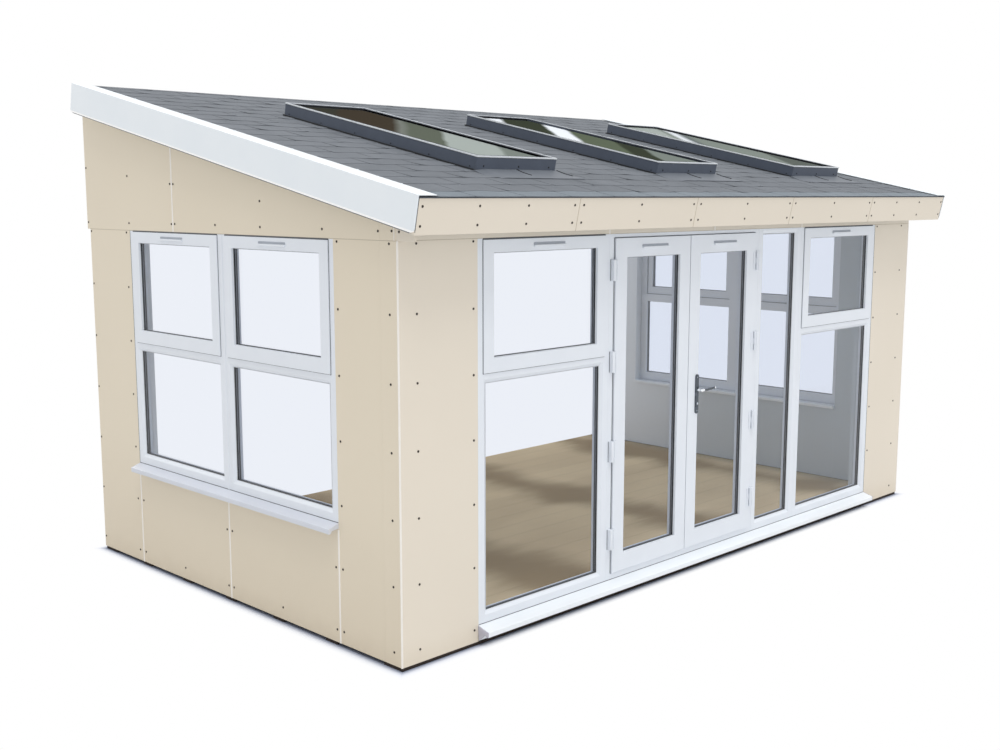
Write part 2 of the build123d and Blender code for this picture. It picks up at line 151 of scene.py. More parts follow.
class Wire:
    """An output socket of a finish. Sums on it add Math nodes."""

    def __init__(self, finish, socket):
        self.finish = finish
        self.socket = socket

    def pick(self, output):
        """Another output of the same node."""
        return Wire(self.finish, self.socket.node.outputs[output])

    def math(self, operation, first, second=0.0):
        return self.finish.node("ShaderNodeMath", {"operation": operation}, {0: first, 1: second})

    __add__ = __radd__ = sign("ADD")
    __sub__ = sign("SUBTRACT")
    __rsub__ = sign("SUBTRACT", swapped=True)
    __mul__ = __rmul__ = sign("MULTIPLY")
    __truediv__ = sign("DIVIDE")
    __pow__ = sign("POWER")
    __mod__ = sign("FLOORED_MODULO")
    __gt__ = sign("GREATER_THAN")
    __lt__ = sign("LESS_THAN")
    __abs__ = sign("ABSOLUTE")


print("mid grey as light:", round(srgb(128, 128, 128)[0], 3))

# %% [markdown]
# ## Finishes
# Each kind of surface gets one finish: a material, with one method that makes any node it
# needs. A node's settings come before its values, because some of them, such as a noise's
# dimensions, change which sockets it has. The other methods name what a painter does.


# %% Finishes
class Finish:
    """A material for one kind of surface. The world is one more, with a shader of its own."""

    def __init__(self, name, owner=None, shader="Principled BSDF", output="Material Output"):
        self.material = owner or bpy.data.materials.new(name)
        self.material.use_nodes = True
        self.tree = self.material.node_tree
        self.shader = self.tree.nodes[shader]
        self.own = Wire(self, self.shader.outputs[0])
        self.output = self.tree.nodes[output]

    def node(self, kind, settings, values, output=0):
        """A new node: settings first, then the values or wires of its sockets."""
        made = self.tree.nodes.new(kind)
        for setting, value in settings.items():
            if setting == "stops":
                made.color_ramp.elements.remove(made.color_ramp.elements[1])
                for index, (position, colour) in enumerate(value):
                    stops = made.color_ramp.elements
                    stop = stops[0] if index == 0 else stops.new(position)
                    stop.position = position
                    stop.color = colour
            else:
                setattr(made, setting, value)
        self.feed(made, values)
        return Wire(self, made.outputs[output])

    def feed(self, target, values):
        """Give a node's sockets their values or wires."""
        for socket, value in values.items():
            if isinstance(value, Wire):
                self.tree.links.new(value.socket, target.inputs[socket])
            else:
                target.inputs[socket].default_value = value

    def surface(self, **values):
        """Set the shader's sockets, as Base_Color=..., Roughness=..."""
        self.feed(self.shader, {name.replace("_", " "): value for name, value in values.items()})
        return self

    def blend(self, share, first, second):
        """Show the first shader where share is 0 and the second where it is 1."""
        both = self.node("ShaderNodeMixShader", {}, {0: share, 1: first, 2: second})
        self.feed(self.output, {"Surface": both})

    def place(self):
        """The point's place in the shared frame, as a vector wire."""
        return self.node("ShaderNodeTexCoord", {}, {}, output=3)

    def split(self, vector):
        parts = self.node("ShaderNodeSeparateXYZ", {}, {0: vector})
        return parts, parts.pick(1), parts.pick(2)

    def stretched(self, vector, factors):
        return self.node("ShaderNodeVectorMath", {"operation": "MULTIPLY"}, {0: vector, 1: factors})

    def mottle(self, vector, scale, detail=2.0):
        """Soft noise from 0 to 1, with patches of about 1 / scale metres."""
        values = {"Vector": vector, "Scale": scale, "Detail": detail}
        return self.node("ShaderNodeTexNoise", {}, values)

    def mix(self, share, first, second):
        """The first colour where share is 0 and the second where it is 1."""
        values = {0: share, 6: first, 7: second}
        return self.node("ShaderNodeMix", {"data_type": "RGBA"}, values, output=2)

    def fade(self, value, low, high):
        """0 below low, 1 above high and smooth between."""
        settings = {"interpolation_type": "SMOOTHSTEP"}
        return self.node("ShaderNodeMapRange", settings, {0: value, 1: low, 2: high})

    def bump(self, height, depth, strength=1.0):
        values = {"Strength": strength, "Distance": depth, "Height": height}
        return self.node("ShaderNodeBump", {}, values)


print("finish helpers:", [name for name in vars(Finish) if not name.startswith("_")])

# %% [markdown]
# ## Cream boards and the pale lining
# The walls are fibre boards with a flat cream paint outside and a pale grey lining inside, on one
# solid each. The paint is nearly even: a broad drift of tone, a fine roller texture, and a darker
# tone towards the foot. The side boards have yellowed a little more than the front, and are darker
# low down. A mask from the position turns the same solid grey from the frames' depth inwards, and
# painted light makes the lining paler towards the open back.

# %% Cladding
LINED_FROM = 0.045          # depth from the outer face where the lining begins
CREAM_LIGHT = srgb(229, 220, 206)
CREAM_DEEP = srgb(222, 213, 198)
SUNNED_LIGHT = srgb(229, 219, 200)
SUNNED_DEEP = srgb(222, 211, 191)
FOOT_TONE = srgb(204, 191, 170)
LINING_LIGHT = srgb(206, 214, 220)
LINING_DEEP = srgb(190, 198, 204)
LINING_LIT = srgb(240, 244, 248)    # painted light, paler towards the open back
WALL_BACK = 1.537           # Y just inside the rear edge of the side walls


def lining_colour(finish, vector):
    cloud = finish.mottle(vector, 1.7, 4.0)
    y = finish.split(vector)[1]
    # Painted light: the lining grows paler towards the open back.
    lit_from_back = finish.fade(y, -0.3, 1.3) * (y < WALL_BACK)
    return finish.mix(lit_from_back, finish.mix(cloud, LINING_DEEP, LINING_LIGHT), LINING_LIT)


cladding = Finish("cream_cladding")
spot = cladding.place()
x, y, z = cladding.split(spot)
lined = (abs(x) < -LEFT_X - LINED_FROM) * (y > front_y + LINED_FROM)
drift = cladding.mottle(spot, 0.9, 5.0)
on_side = cladding.fade(y, front_y + 0.002, front_y + 0.01)
cream = cladding.mix(
    on_side,
    cladding.mix(drift, CREAM_DEEP, CREAM_LIGHT),
    cladding.mix(drift, SUNNED_DEEP, SUNNED_LIGHT),
)
# Darker towards the foot on every wall, and on the side boards up to about a metre.
foot_height = z + 0.12 * cladding.mottle(spot, 6.0, 3.0)
darkened_low = (1 - cladding.fade(foot_height, 0.03, 0.22)) * 0.3
darkened_low = darkened_low + on_side * (1 - cladding.fade(foot_height, 0.1, 1.0)) * 0.3
cream = cladding.mix(darkened_low, cream, FOOT_TONE)
roller = cladding.mottle(spot, 420.0, 3.0)
cladding.surface(
    Base_Color=cladding.mix(lined, cream, lining_colour(cladding, spot)),
    Roughness=0.5 + 0.12 * cladding.mottle(spot, 30.0),
    Normal=cladding.bump(roller, 0.0004, 0.35),
    Specular_IOR_Level=0.35,
)

lining = Finish("pale_lining")
spot = lining.place()
lining.surface(
    Base_Color=lining_colour(lining, spot),
    Roughness=0.7,
    Normal=lining.bump(lining.mottle(spot, 300.0, 3.0), 0.0003, 0.3),
)
print("cladding and lining finishes made")

# %% [markdown]
# ## Timber: the floor and the bearers
# The floor is tan boarding, mostly seen at a low angle, so broad patches matter more than grain.
# Each board is a strip along X with its own tone. Soft darker bands of painted shade lie between
# the rooflights, where less daylight falls; painted shade darkens the floor along the side walls,
# and a strip of painted shadow runs at their foot. The bearers are dark with preservative and
# painted darker still for the shade under the floor, with grain stretched along X.

# %% Floor and bearers
BOARD = 0.195               # width of a floor board
FLOOR_TONES = (srgb(206, 182, 144), srgb(236, 213, 172))
FLOOR_SEAM = srgb(140, 118, 88)
FLOOR_WALL_SHADE = srgb(116, 108, 84)
FLOOR_SHADE = srgb(150, 126, 88)
FLOOR_FOOT_SHADOW = srgb(58, 50, 40)
FOOT_SHADOW_FROM = -LEFT_X - 0.152    # where the painted shadow at the side walls' foot begins
left_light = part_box("rooflight_left_upstand")
middle_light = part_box("rooflight_middle_upstand")
BAY = middle_light[0].x - left_light[0].x   # from one rooflight to the next
FIRST_SHADE = -1.10         # X of the middle of a band of painted shade between the rooflights
floor_finish = Finish("tan_floor_boards")
spot = floor_finish.place()
x, y, z = floor_finish.split(spot)
board_number = y / BOARD - (y / BOARD) % 1.0
board_tone = floor_finish.node(
    "ShaderNodeTexWhiteNoise", {"noise_dimensions": "1D"}, {"W": board_number}
)
grain = floor_finish.mottle(floor_finish.stretched(spot, (2.0, 40.0, 1.0)), 3.0, 6.0)
patch = floor_finish.mottle(floor_finish.stretched(spot, (0.5, 1.3, 1.0)), 1.2, 4.0)
patch = floor_finish.fade(patch, 0.3, 0.7)
tone = 0.15 * board_tone + 0.25 * grain + 0.6 * patch
seam = ((y / BOARD) % 1.0) < 0.014
boards = floor_finish.mix(tone, *FLOOR_TONES)
# Painted shade: soft darker bands between the rooflights, where less daylight falls.
from_shade = abs(((x - FIRST_SHADE) / BAY + 0.5) % 1.0 - 0.5) * BAY
shade = 1 - floor_finish.fade(from_shade + 0.25 * (patch - 0.5) + 0.1 * grain, 0.08, 0.48)
boards = floor_finish.mix(shade * 0.9, boards, FLOOR_SHADE)
# Painted shade along the side walls.
wall_shade = floor_finish.fade(abs(x) + 0.06 * grain, -LEFT_X - 0.32, -LEFT_X - 0.10)
boards = floor_finish.mix(wall_shade * 0.6, boards, FLOOR_WALL_SHADE)
# Painted shadow in a strip at the side walls' foot.
boards = floor_finish.mix((abs(x) > FOOT_SHADOW_FROM) * 0.7, boards, FLOOR_FOOT_SHADOW)
floor_finish.surface(
    Base_Color=floor_finish.mix(seam * 0.7, boards, FLOOR_SEAM),
    Roughness=0.7 + 0.2 * grain,
    Normal=floor_finish.bump(grain - seam, 0.0008, 0.5),
    Specular_IOR_Level=0.15,
)

# The near-black tone is partly the timber's preservative and partly painted shade from under the
# floor.
bearer_finish = Finish("dark_bearer_timber_painted_shade")
spot = bearer_finish.place()
grain = bearer_finish.mottle(bearer_finish.stretched(spot, (1.0, 30.0, 30.0)), 4.0, 6.0)
bearer_finish.surface(
    Base_Color=bearer_finish.mix(grain, srgb(22, 14, 10), srgb(48, 34, 25)),
    Roughness=0.85,
    Normal=bearer_finish.bump(grain, 0.002, 0.8),
)
print("timber finishes made")

# %% [markdown]
# ## White window plastic
# Frames, sashes and doors are white extruded plastic: satin, a touch blue, with a faint haze of
# grime. The haze dulls the shine as much as the tone, as it does on the real bar, so one noise
# feeds both. The sills are painted lighter in front and darker at the sides, as painted light and
# shade. The verge trims are whiter, with a painted highlight along their foot. The function serves
# every satin surface, and the sheet metals use it too.


# %% White plastics
TRIM_HIGHLIGHT_FROM = 0.170           # depth under the verge plane where the painted highlight begins


def satin(name, light, deep, roughness, metallic=0.0, patches=14.0, texture=350.0, uneven=0.12):
    """A satin surface: patches of two tones, and a fine texture that the light catches."""
    finish = Finish(name)
    spot = finish.place()
    cloud = finish.mottle(spot, patches, 4.0)
    return finish.surface(
        Base_Color=finish.mix(cloud, deep, light),
        Roughness=roughness + uneven * cloud,
        Metallic=metallic,
        Normal=finish.bump(finish.mottle(spot, texture, 2.0), 0.0002, 0.25),
    )


def white_plastic(name, light, deep, roughness=0.3):
    return satin(name, light, deep, roughness, patches=7.0, texture=260.0, uneven=0.1)


plastic = white_plastic("white_window_plastic", srgb(229, 234, 241), srgb(222, 227, 235))
# The front sill and window boards: painted light, lighter than the frames' plastic.
lit_sill_plastic = white_plastic("white_sill_plastic_painted_light", srgb(241, 245, 249), srgb(234, 239, 244))
# The side sills: painted shade, darker than the same plastic in front.
shaded_sill_plastic = white_plastic("sill_plastic_painted_shade", srgb(213, 217, 226), srgb(204, 208, 218), 0.4)

trim_white = Finish("white_verge_trim")
spot = trim_white.place()
x, y, z = trim_white.split(spot)
above = z * cos(PITCH) - y * sin(PITCH) - eaves.dot(ROOF_NORMAL)
trim_mottle = trim_white.mottle(spot, 3.0, 4.0)
face_white = trim_white.mix(trim_mottle, srgb(228, 235, 241), srgb(237, 242, 246))
trim_white.surface(
    # Painted highlight: pure white along the trims' foot.
    Base_Color=trim_white.mix(above < -TRIM_HIGHLIGHT_FROM, face_white, srgb(255, 255, 255)),
    Roughness=0.35 + 0.1 * trim_white.mottle(spot, 7.0, 4.0),
    Normal=trim_white.bump(trim_white.mottle(spot, 260.0), 0.0002, 0.25),
)
print("white plastics made")

# %% [markdown]
# ## Clear double glazing
# A sealed unit is one solid here, so each sight line crosses two faces. Each face lets a
# tinted light through and mirrors a share that grows as it is seen edge on. Layer Weight
# gives that angle on both faces alike, where a Fresnel node would mirror fully on the way
# out.

# %% Glass
clear_glass = Finish("clear_glazing")
edge_on = clear_glass.node("ShaderNodeLayerWeight", {}, {"Blend": 0.5}, output=1)
through = clear_glass.node("ShaderNodeBsdfTransparent", {}, {"Color": srgb(245, 247, 251)})
clear_glass.surface(Base_Color=srgb(255, 255, 255), Metallic=1.0, Roughness=0.02)
clear_glass.blend(0.02 + 0.9 * edge_on ** 5.0, through, clear_glass.own)
print("clear glass made")

# %% [markdown]
# ## Rooflight glass
# The rooflights are tinted glass with a painted reflection of trees and sky: brown, green and pale
# bands running slantwise over each pane, the same from every side. Each pane has its own bands,
# given by the share of the way across the pane where they start. A share of the light still passes,
# so the room below sees daylight through it.

# %% Rooflight glass
BROWN_REFLECTION, DARK_BROWN_REFLECTION, GREY_REFLECTION = srgb(66, 59, 50), srgb(60, 60, 53), srgb(122, 126, 120)
GREEN_REFLECTION, DARK_GREEN_REFLECTION, GREY_GREEN_REFLECTION = srgb(94, 103, 86), srgb(60, 65, 54), srgb(97, 103, 92)
PALE_REFLECTION, SKY_REFLECTION, DULL_REFLECTION = srgb(164, 172, 168), srgb(236, 241, 247), srgb(124, 132, 126)
SOFT_GREEN_REFLECTION, SOFT_GREY_REFLECTION, LOW_REFLECTION = srgb(131, 139, 133), srgb(106, 113, 113), srgb(98, 104, 99)
REFLECTION_BANDS = [
    [(0.0, DARK_BROWN_REFLECTION), (0.15, BROWN_REFLECTION), (0.41, GREY_REFLECTION), (0.46, GREY_GREEN_REFLECTION), (0.61, PALE_REFLECTION), (0.84, DULL_REFLECTION)],
    [(0.0, SKY_REFLECTION), (0.11, DARK_GREEN_REFLECTION), (0.34, SKY_REFLECTION), (0.45, GREEN_REFLECTION), (0.65, DARK_GREEN_REFLECTION), (0.77, DULL_REFLECTION)],
    [(0.0, PALE_REFLECTION), (0.26, DULL_REFLECTION), (0.31, SKY_REFLECTION), (0.34, SOFT_GREY_REFLECTION), (0.42, SOFT_GREEN_REFLECTION),
     (0.75, LOW_REFLECTION)],
]
BAND_EDGE = 0.01            # half the width over which one band turns into the next
NARROW_BAND = 0.09          # a band under this has one stop, in its middle
FIRST_BAY = (left_light[0].x + left_light[1].x - BAY) / 2     # X where the first bay begins
SLANT = 1.23                # how the bands lean: this many parts of X to one of Y
SLANT_START = -0.808        # SLANT times X less Y, at the upper left corner of a pane
SLANT_RUN = 2.236           # and how much that grows to its lower right corner
roof_glass = Finish("rooflight_glazing")
spot = roof_glass.place()
x, y, z = roof_glass.split(spot)
patch = roof_glass.mottle(roof_glass.stretched(spot, (1.6, 0.8, 0.8)), 2.4, 5.0)
bay = (x - FIRST_BAY) / BAY
over_bay = (bay % 1.0) * BAY - BAY / 2
slant = (SLANT * over_bay - y - SLANT_START) / SLANT_RUN + 0.05 * (patch - 0.5)
slant = slant.math("MINIMUM", slant.math("MAXIMUM", slant, 0.0), 1 - BAND_EDGE)
stops = []
for number, bands in enumerate(REFLECTION_BANDS):
    starts = [start for start, _ in bands] + [1.0]
    for (start, tone), end in zip(bands, starts[1:]):
        inside = [start + BAND_EDGE, end - BAND_EDGE]
        if end - start < NARROW_BAND:
            inside = [(start + end) / 2]
        stops += [((number + share) / len(REFLECTION_BANDS), tone) for share in inside]
# Painted reflection: each pane's bands of reflected trees and sky, along the slant.
reflection_place = (bay - bay % 1.0 + slant) / len(REFLECTION_BANDS)
painted_reflection = roof_glass.node("ShaderNodeValToRGB", {"stops": stops}, {0: reflection_place})
roof_glass.surface(Base_Color=painted_reflection, Roughness=0.25, Specular_IOR_Level=0.0)
through = roof_glass.node("ShaderNodeBsdfTransparent", {}, {"Color": srgb(190, 200, 180)})
roof_glass.blend(0.85, through, roof_glass.own)
print("rooflight glass made")

# %% [markdown]
# ## Roofing felt, upstands and metal
# Felt shingles are slate-blue grit on bitumen: speckled at arm's length, even from afar.
# The tone of each tab comes from white noise on its own cell, so tabs differ as laid tabs
# do. The upstands are dark satin sheet, their caps pale aluminium, and the door furniture
# is chrome.

# %% Roof and metal finishes
TAB = 0.343                 # width of a shingle tab
COURSE = 0.1685             # height of tab left showing
FIRST_BUTT = 0.121          # the second course's lower edge, up the slope


def felt(name, light, deep, per_tab):
    finish = Finish(name)
    spot = finish.place()
    x, y, z = finish.split(spot)
    up = (y - eaves.y) / cos(PITCH)
    course = (up - FIRST_BUTT) / COURSE
    course = course - course % 1.0
    across = (x - LEFT_X) / TAB + 0.5 * (course % 2.0)
    cell = finish.node("ShaderNodeCombineXYZ", {}, {0: across - across % 1.0, 1: course})
    tab_tone = finish.node("ShaderNodeTexWhiteNoise", {}, {"Vector": cell})
    grit = finish.mottle(spot, 900.0, 2.0)
    cloud = finish.mottle(spot, 5.0, 4.0)
    tone = per_tab * tab_tone + 0.35 * grit + (0.65 - per_tab) * cloud
    return finish.surface(
        Base_Color=finish.mix(tone, deep, light),
        Roughness=0.85,
        Normal=finish.bump(grit, 0.001, 0.6),
    )


shingle_felt = felt("slate_shingle_felt", srgb(121, 126, 133), srgb(80, 85, 91), 0.12)
# The felt under the tabs, seen in the slots and under their lower edges, is painted dark as painted
# shade.
slot_shade_felt = felt("felt_painted_slot_shade", srgb(74, 78, 85), srgb(52, 55, 61), 0.1)
starter_felt = felt("starter_course_felt", srgb(132, 141, 149), srgb(99, 108, 116), 0.2)
flashing = satin("slate_flashing_sheet", srgb(110, 116, 124), srgb(94, 99, 107), 0.5)
upstand_sheet = satin("dark_upstand_sheet", srgb(84, 93, 108), srgb(74, 82, 97), 0.4)
cap_metal = satin("pale_cap_aluminium", srgb(238, 242, 246), srgb(222, 228, 234), 0.3)
spacer_metal = satin("glazing_spacer_aluminium", srgb(150, 154, 160), srgb(128, 132, 138), 0.4, 0.6)
black_seal = satin("black_edge_seal", srgb(30, 33, 38), srgb(18, 20, 24), 0.5)
grey_gasket = satin("grey_glazing_gasket", srgb(206, 210, 215), srgb(196, 200, 206), 0.6)
# Dark gaskets and joints, and painted shade in the gaps by sashes, doors, hinges and trims.
dark_joint_and_shade = satin("dark_joints_and_painted_shade", srgb(96, 100, 106), srgb(80, 84, 90), 0.6)
screw_steel = satin("browned_screw_steel", srgb(60, 52, 44), srgb(44, 38, 32), 0.5)
chrome = satin("polished_chrome", srgb(196, 202, 210), srgb(168, 175, 184), 0.08, 1.0)
smoked = satin("smoked_chrome", srgb(88, 95, 104), srgb(70, 76, 84), 0.2, 0.6)
strip_cream = satin("cream_cover_strip", srgb(244, 240, 235), srgb(236, 231, 224), 0.4)
seam_tan = satin("tan_board_seam", srgb(196, 186, 168), srgb(182, 171, 152), 0.7)
print("roof and metal finishes made")

# %% [markdown]
# ## Dressing the CAD nodes
# Every node keeps its exact shape and takes its finish. Real bars and boards have eased
# edges that catch a line of light, so a Weld joins the imported faces, a Bevel rounds what
# the angle calls an edge, and weighted normals keep the flats flat.


# %% Finishes and eased edges
def dress(finish, names, ease=0.0):
    """Give CAD nodes a finish, and round their edges by ease metres."""
    for name in names:
        obj = nodes[name]
        obj.data.materials.clear()
        obj.data.materials.append(finish.material)
        if ease:
            obj.modifiers.new("join_faces", "WELD").merge_threshold = 1e-5
            edge = obj.modifiers.new("eased_edges", "BEVEL")
            edge.width = ease
            edge.segments = 2
            edge.limit_method = "ANGLE"
            edge.angle_limit = radians(30)
            obj.modifiers.new("flat_faces", "WEIGHTED_NORMAL")


def plain_faces(names):
    """Join the triangles of each flat face, as the second step, before edges are rounded."""
    for name in names:
        obj = nodes[name]
        flat = obj.modifiers.new("plain_faces", "DECIMATE")
        flat.decimate_type = "DISSOLVE"
        flat.angle_limit = radians(1)
        obj.modifiers.move(len(obj.modifiers) - 1, 1)


wall_nodes = [n for n in nodes if "_wall_" in n or "gable" in n or "pier" in n]
frames = [n for n in nodes if n.endswith(("_frame", "_sashes", "_leaf"))]
dress(cladding, wall_nodes + ["front_header", "front_fascia", "left_eaves_end"], 0.0012)
dress(lining, ["roof_deck", "rear_header"])
dress(plastic, frames, 0.0018)
plain_faces(["door_left_leaf", "door_right_leaf"])
dress(lit_sill_plastic, ["front_sill", "window_boards"], 0.0025)
dress(shaded_sill_plastic, ["side_window_sills"], 0.0025)
dress(plastic, [n for n in nodes if n.endswith("_hinges")], 0.001)
dress(clear_glass, [n for n in nodes if n.endswith("_glass")])
dress(roof_glass, ["rooflight_glass"])
dress(slot_shade_felt, ["roof_shingles"])
dress(upstand_sheet, [n for n in nodes if n.endswith("_upstand")], 0.002)
dress(trim_white, ["left_verge_trim", "right_verge_trim"], 0.0015)
dress(bearer_finish, ["floor_bearers"], 0.003)
dress(floor_finish, ["floor_deck"])
dress(smoked, ["door_handle_plates", "door_handle_levers"], 0.0015)
print("dressed", len(nodes), "nodes")

# %% [markdown]
# ## Building pieces on a face
# Small parts are drawn as they are made: a strip is a section run along a line, a seal is
# a ring with mitred corners, a screw is a turned head with a driver's recess, and a sheet
# of felt is a grid. One class collects them into a mesh on whichever face is at hand.


# %% Shapes
def oval(across, up, half_width, half_height, sides):
    """Points round an oval, whose middle is at across and up."""
    turns = [2 * pi * i / sides for i in range(sides)]
    return [(across + half_width * cos(t), up + half_height * sin(t)) for t in turns]


class Shape:
    """Solids drawn on a face by their along, up and out distances."""

    def __init__(self):
        self.mesh = bmesh.new()
        self.place = FRONT

    def on(self, place):
        self.place = place
        return self

    def points(self, rows, drop=0.0):
        """Mesh points for rows of (along, up, out) places, drop metres deeper."""
        return [[self.mesh.verts.new(self.place @ Vector((a, u, o - drop))) for a, u, o in row]
                for row in rows]

    def solid(self, rings, ease=0.0, hollow=False):
        """A solid through rings of equally many points: capped, or hollow and joined round."""
        made = self.points(rings)
        faces = []
        count = len(made[0])
        for lower, upper in zip(made, made[1:] + made[:hollow]):
            for i in range(count):
                j = (i + 1) % count
                faces.append(self.mesh.faces.new((lower[i], lower[j], upper[j], upper[i])))
        if not hollow:
            faces.append(self.mesh.faces.new(reversed(made[0])))
            faces.append(self.mesh.faces.new(made[-1]))
        bmesh.ops.recalc_face_normals(self.mesh, faces=faces)
        if ease:
            edges = {e for f in faces for e in f.edges if e.calc_face_angle(0) > radians(30)}
            bmesh.ops.bevel(
                self.mesh, geom=list(edges), offset=ease, segments=2, affect="EDGES", profile=0.6
            )
        return self

    def sheet(self, point, rows, steps, thick):
        """A thin sheet. Its upper side is point, a function of the shares up and along it."""
        grid = [[point(r / rows, s / steps) for s in range(steps + 1)] for r in range(rows + 1)]
        top, base = self.points(grid), self.points(grid, thick)
        new_face = self.mesh.faces.new
        for r in range(rows):
            for s in range(steps):
                new_face((top[r][s], top[r][s + 1], top[r + 1][s + 1], top[r + 1][s]))
                new_face((base[r][s], base[r + 1][s], base[r + 1][s + 1], base[r][s + 1]))
        rim = [(0, s) for s in range(steps)] + [(r, steps) for r in range(rows)]
        rim += [(rows, s) for s in range(steps, 0, -1)] + [(r, 0) for r in range(rows, 0, -1)]
        for (r, s), (next_r, next_s) in zip(rim, rim[1:] + rim[:1]):
            new_face((base[r][s], base[next_r][next_s], top[next_r][next_s], top[r][s]))

    def box(self, along, up, out, ease=0.0):
        ring = [(along[0], up[0]), (along[1], up[0]), (along[1], up[1]), (along[0], up[1])]
        return self.solid([[(a, u, o) for a, u in ring] for o in out], ease)

    def run(self, section, along, ease=0.0):
        """A section of (up, out) points run along."""
        return self.solid([[(a, u, o) for u, o in section] for a in along], ease)

    def rise(self, section, up, ease=0.0):
        """A section of (along, out) points run up."""
        return self.solid([[(a, u, o) for a, o in section] for u in up], ease)

    def ring(self, along, up, out, width):
        """A rectangular ring, like a picture frame, of bars width wide."""
        def corners(inset, depth):
            a0, a1 = along[0] + inset, along[1] - inset
            u0, u1 = up[0] + inset, up[1] - inset
            return [(a0, u0, depth), (a1, u0, depth), (a1, u1, depth), (a0, u1, depth)]

        loops = [corners(0, out[0]), corners(0, out[1])]
        return self.solid(loops + [corners(width, out[1]), corners(width, out[0])], hollow=True)

    def turned(self, along, up, profile, sides=12):
        """A turned solid: profile is a list of (radius, out)."""
        return self.solid([
            [(a, u, out) for a, u in oval(along, up, radius, radius, sides)]
            for radius, out in profile
        ])


print("shape helpers:", [name for name in vars(Shape) if not name.startswith("_")])

# %% [markdown]
# ## From a shape to a piece
# A piece rides on one body, so that it turns with its door. Its faces are smooth, with a
# sharp edge where two of them meet at more than a given angle, which rounds a screw's head
# and keeps a strip flat without more faces.


# %% Pieces
def piece(name, shape, finish, body="building", smooth=35):
    """Turn a shape into an object that rides on a body."""
    data = bpy.data.meshes.new(name)
    shape.mesh.to_mesh(data)
    shape.mesh.free()
    data.polygons.foreach_set("use_smooth", [True] * len(data.polygons))
    data.set_sharp_from_angle(angle=radians(smooth))
    data.materials.append(finish.material)
    obj = bpy.data.objects.new(name, data)
    bpy.context.scene.collection.objects.link(obj)
    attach(obj, body)
    print(name, len(data.polygons), "faces")
    return obj


# %% [markdown]
# ## Cover strips between the boards
# Where two wall boards meet, a thin pale strip with eased edges covers the gap, and a
# narrower bead runs up the front corners. They are run up the wall from a small section,
# a few millimetres proud, which is what makes them show as bright lines.

# %% Cover strips
STRIP = 0.013
STRIP_PROUD = 0.0025
CORNER_BEAD = 0.006
HEADER_STRIP = 0.010
CLEAR = 0.002               # gap between a strip's end and what it stands on
WALL_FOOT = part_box("left_wall_front_panel")[0].z
WALL_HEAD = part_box("left_wall_front_panel")[1].z
side_run = boxes_in("left_wall_lower_panel", LEFT)[0]
SILL_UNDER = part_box("left_wall_lower_panel")[1].z
PANEL_JOINTS = [side_run[0][0], sum(side_run[0]) / 2 + 0.008, side_run[0][1]]
GABLE_JOINT = 2.04
HEADER_JOINTS = [1.575, 2.6, 3.624]
EAVES_JOINT = 0.021         # where the board under the eaves meets the gable's first board


def strip_section(centre, width=STRIP, proud=STRIP_PROUD):
    half = width / 2
    return [
        (centre - half, 0), (centre - half, proud * 0.5), (centre - half * 0.6, proud),
        (centre + half * 0.6, proud), (centre + half, proud * 0.5), (centre + half, 0),
    ]


def roof_underside(back):
    """Height where a wall face goes under the roof deck, at a distance from the front."""
    deck = boxes_in("roof_deck", ROOF)[0][2][0]
    run = back + front_y - eaves.y
    return eaves.z + run * sin(PITCH) / cos(PITCH) + deck / cos(PITCH)


strips = Shape()
for wall in (LEFT, RIGHT):
    strips.on(wall)
    for joint in PANEL_JOINTS:
        strips.rise(strip_section(joint), (WALL_FOOT, SILL_UNDER - 0.008))
    strips.rise(strip_section(GABLE_JOINT), (WALL_HEAD + CLEAR, roof_underside(GABLE_JOINT)))
    strips.rise(strip_section(CORNER_BEAD / 2, CORNER_BEAD), (WALL_FOOT, WALL_HEAD))
strips.on(FRONT)
for corner in (CORNER_BEAD / 2, WIDTH - CORNER_BEAD / 2):
    strips.rise(strip_section(corner, CORNER_BEAD), (WALL_FOOT, WALL_HEAD))
for joint in HEADER_JOINTS:
    strips.rise(strip_section(joint, HEADER_STRIP), (WALL_HEAD, roof_underside(0)))
eaves_strip = strip_section(EAVES_JOINT, CORNER_BEAD)
strips.on(LEFT).rise(eaves_strip, (WALL_HEAD + CLEAR, roof_underside(0)))
piece("wall_cover_strips", strips, strip_cream)

# %% [markdown]
# ## Seams in the fascia and at the wall's head
# The fascia boards are butted, not covered, and so are the header and gable boards on the
# walls: only a dark hairline shows. A shallow sealed seam, a fraction of a millimetre
# proud, draws that line without cutting the CAD board.

# %% Board seams
SEAM = 0.004
SEAM_SKIN = (0, 0.0006)
fascia = boxes_in("front_fascia", EAVES)[0]
FASCIA_SEAMS = [1.05, 2.085, 3.12, 4.155]
HEAD_SEAM = (WALL_HEAD - 0.0015, WALL_HEAD + 0.0015)
seams = Shape().on(FRONT)
seams.box((0, WIDTH), HEAD_SEAM, SEAM_SKIN)
for wall in (LEFT, RIGHT):
    seams.on(wall).box((0, DEPTH), HEAD_SEAM, SEAM_SKIN)
seams.on(EAVES)
for seam in FASCIA_SEAMS:
    seams.box((seam - SEAM / 2, seam + SEAM / 2), fascia[1], SEAM_SKIN)
piece("board_seams", seams, seam_tan)

# %% [markdown]
# ## Screws
# Each board is held by rows of pan-head screws a hand's width from its edges. A head is
# turned from a short profile with a recess for the driver. They are small, but their even
# rows are what tells the eye that these are boards.

# %% Screw rows
HEAD = 0.0066               # radius of a wall screw's head


def screw(shape, along, up, radius=HEAD):
    """A pan head with a driver's recess."""
    height = radius * 0.45
    shape.turned(along, up, [
        (radius, 0), (radius, height * 0.4), (radius * 0.8, height * 0.85),
        (radius * 0.45, height), (radius * 0.3, height * 0.35),
    ])


def screw_rows(shape, lines, rows):
    """Screws where each of the lines up a face meets each of the rows along it."""
    for along in lines:
        for up in rows:
            screw(shape, along, up)


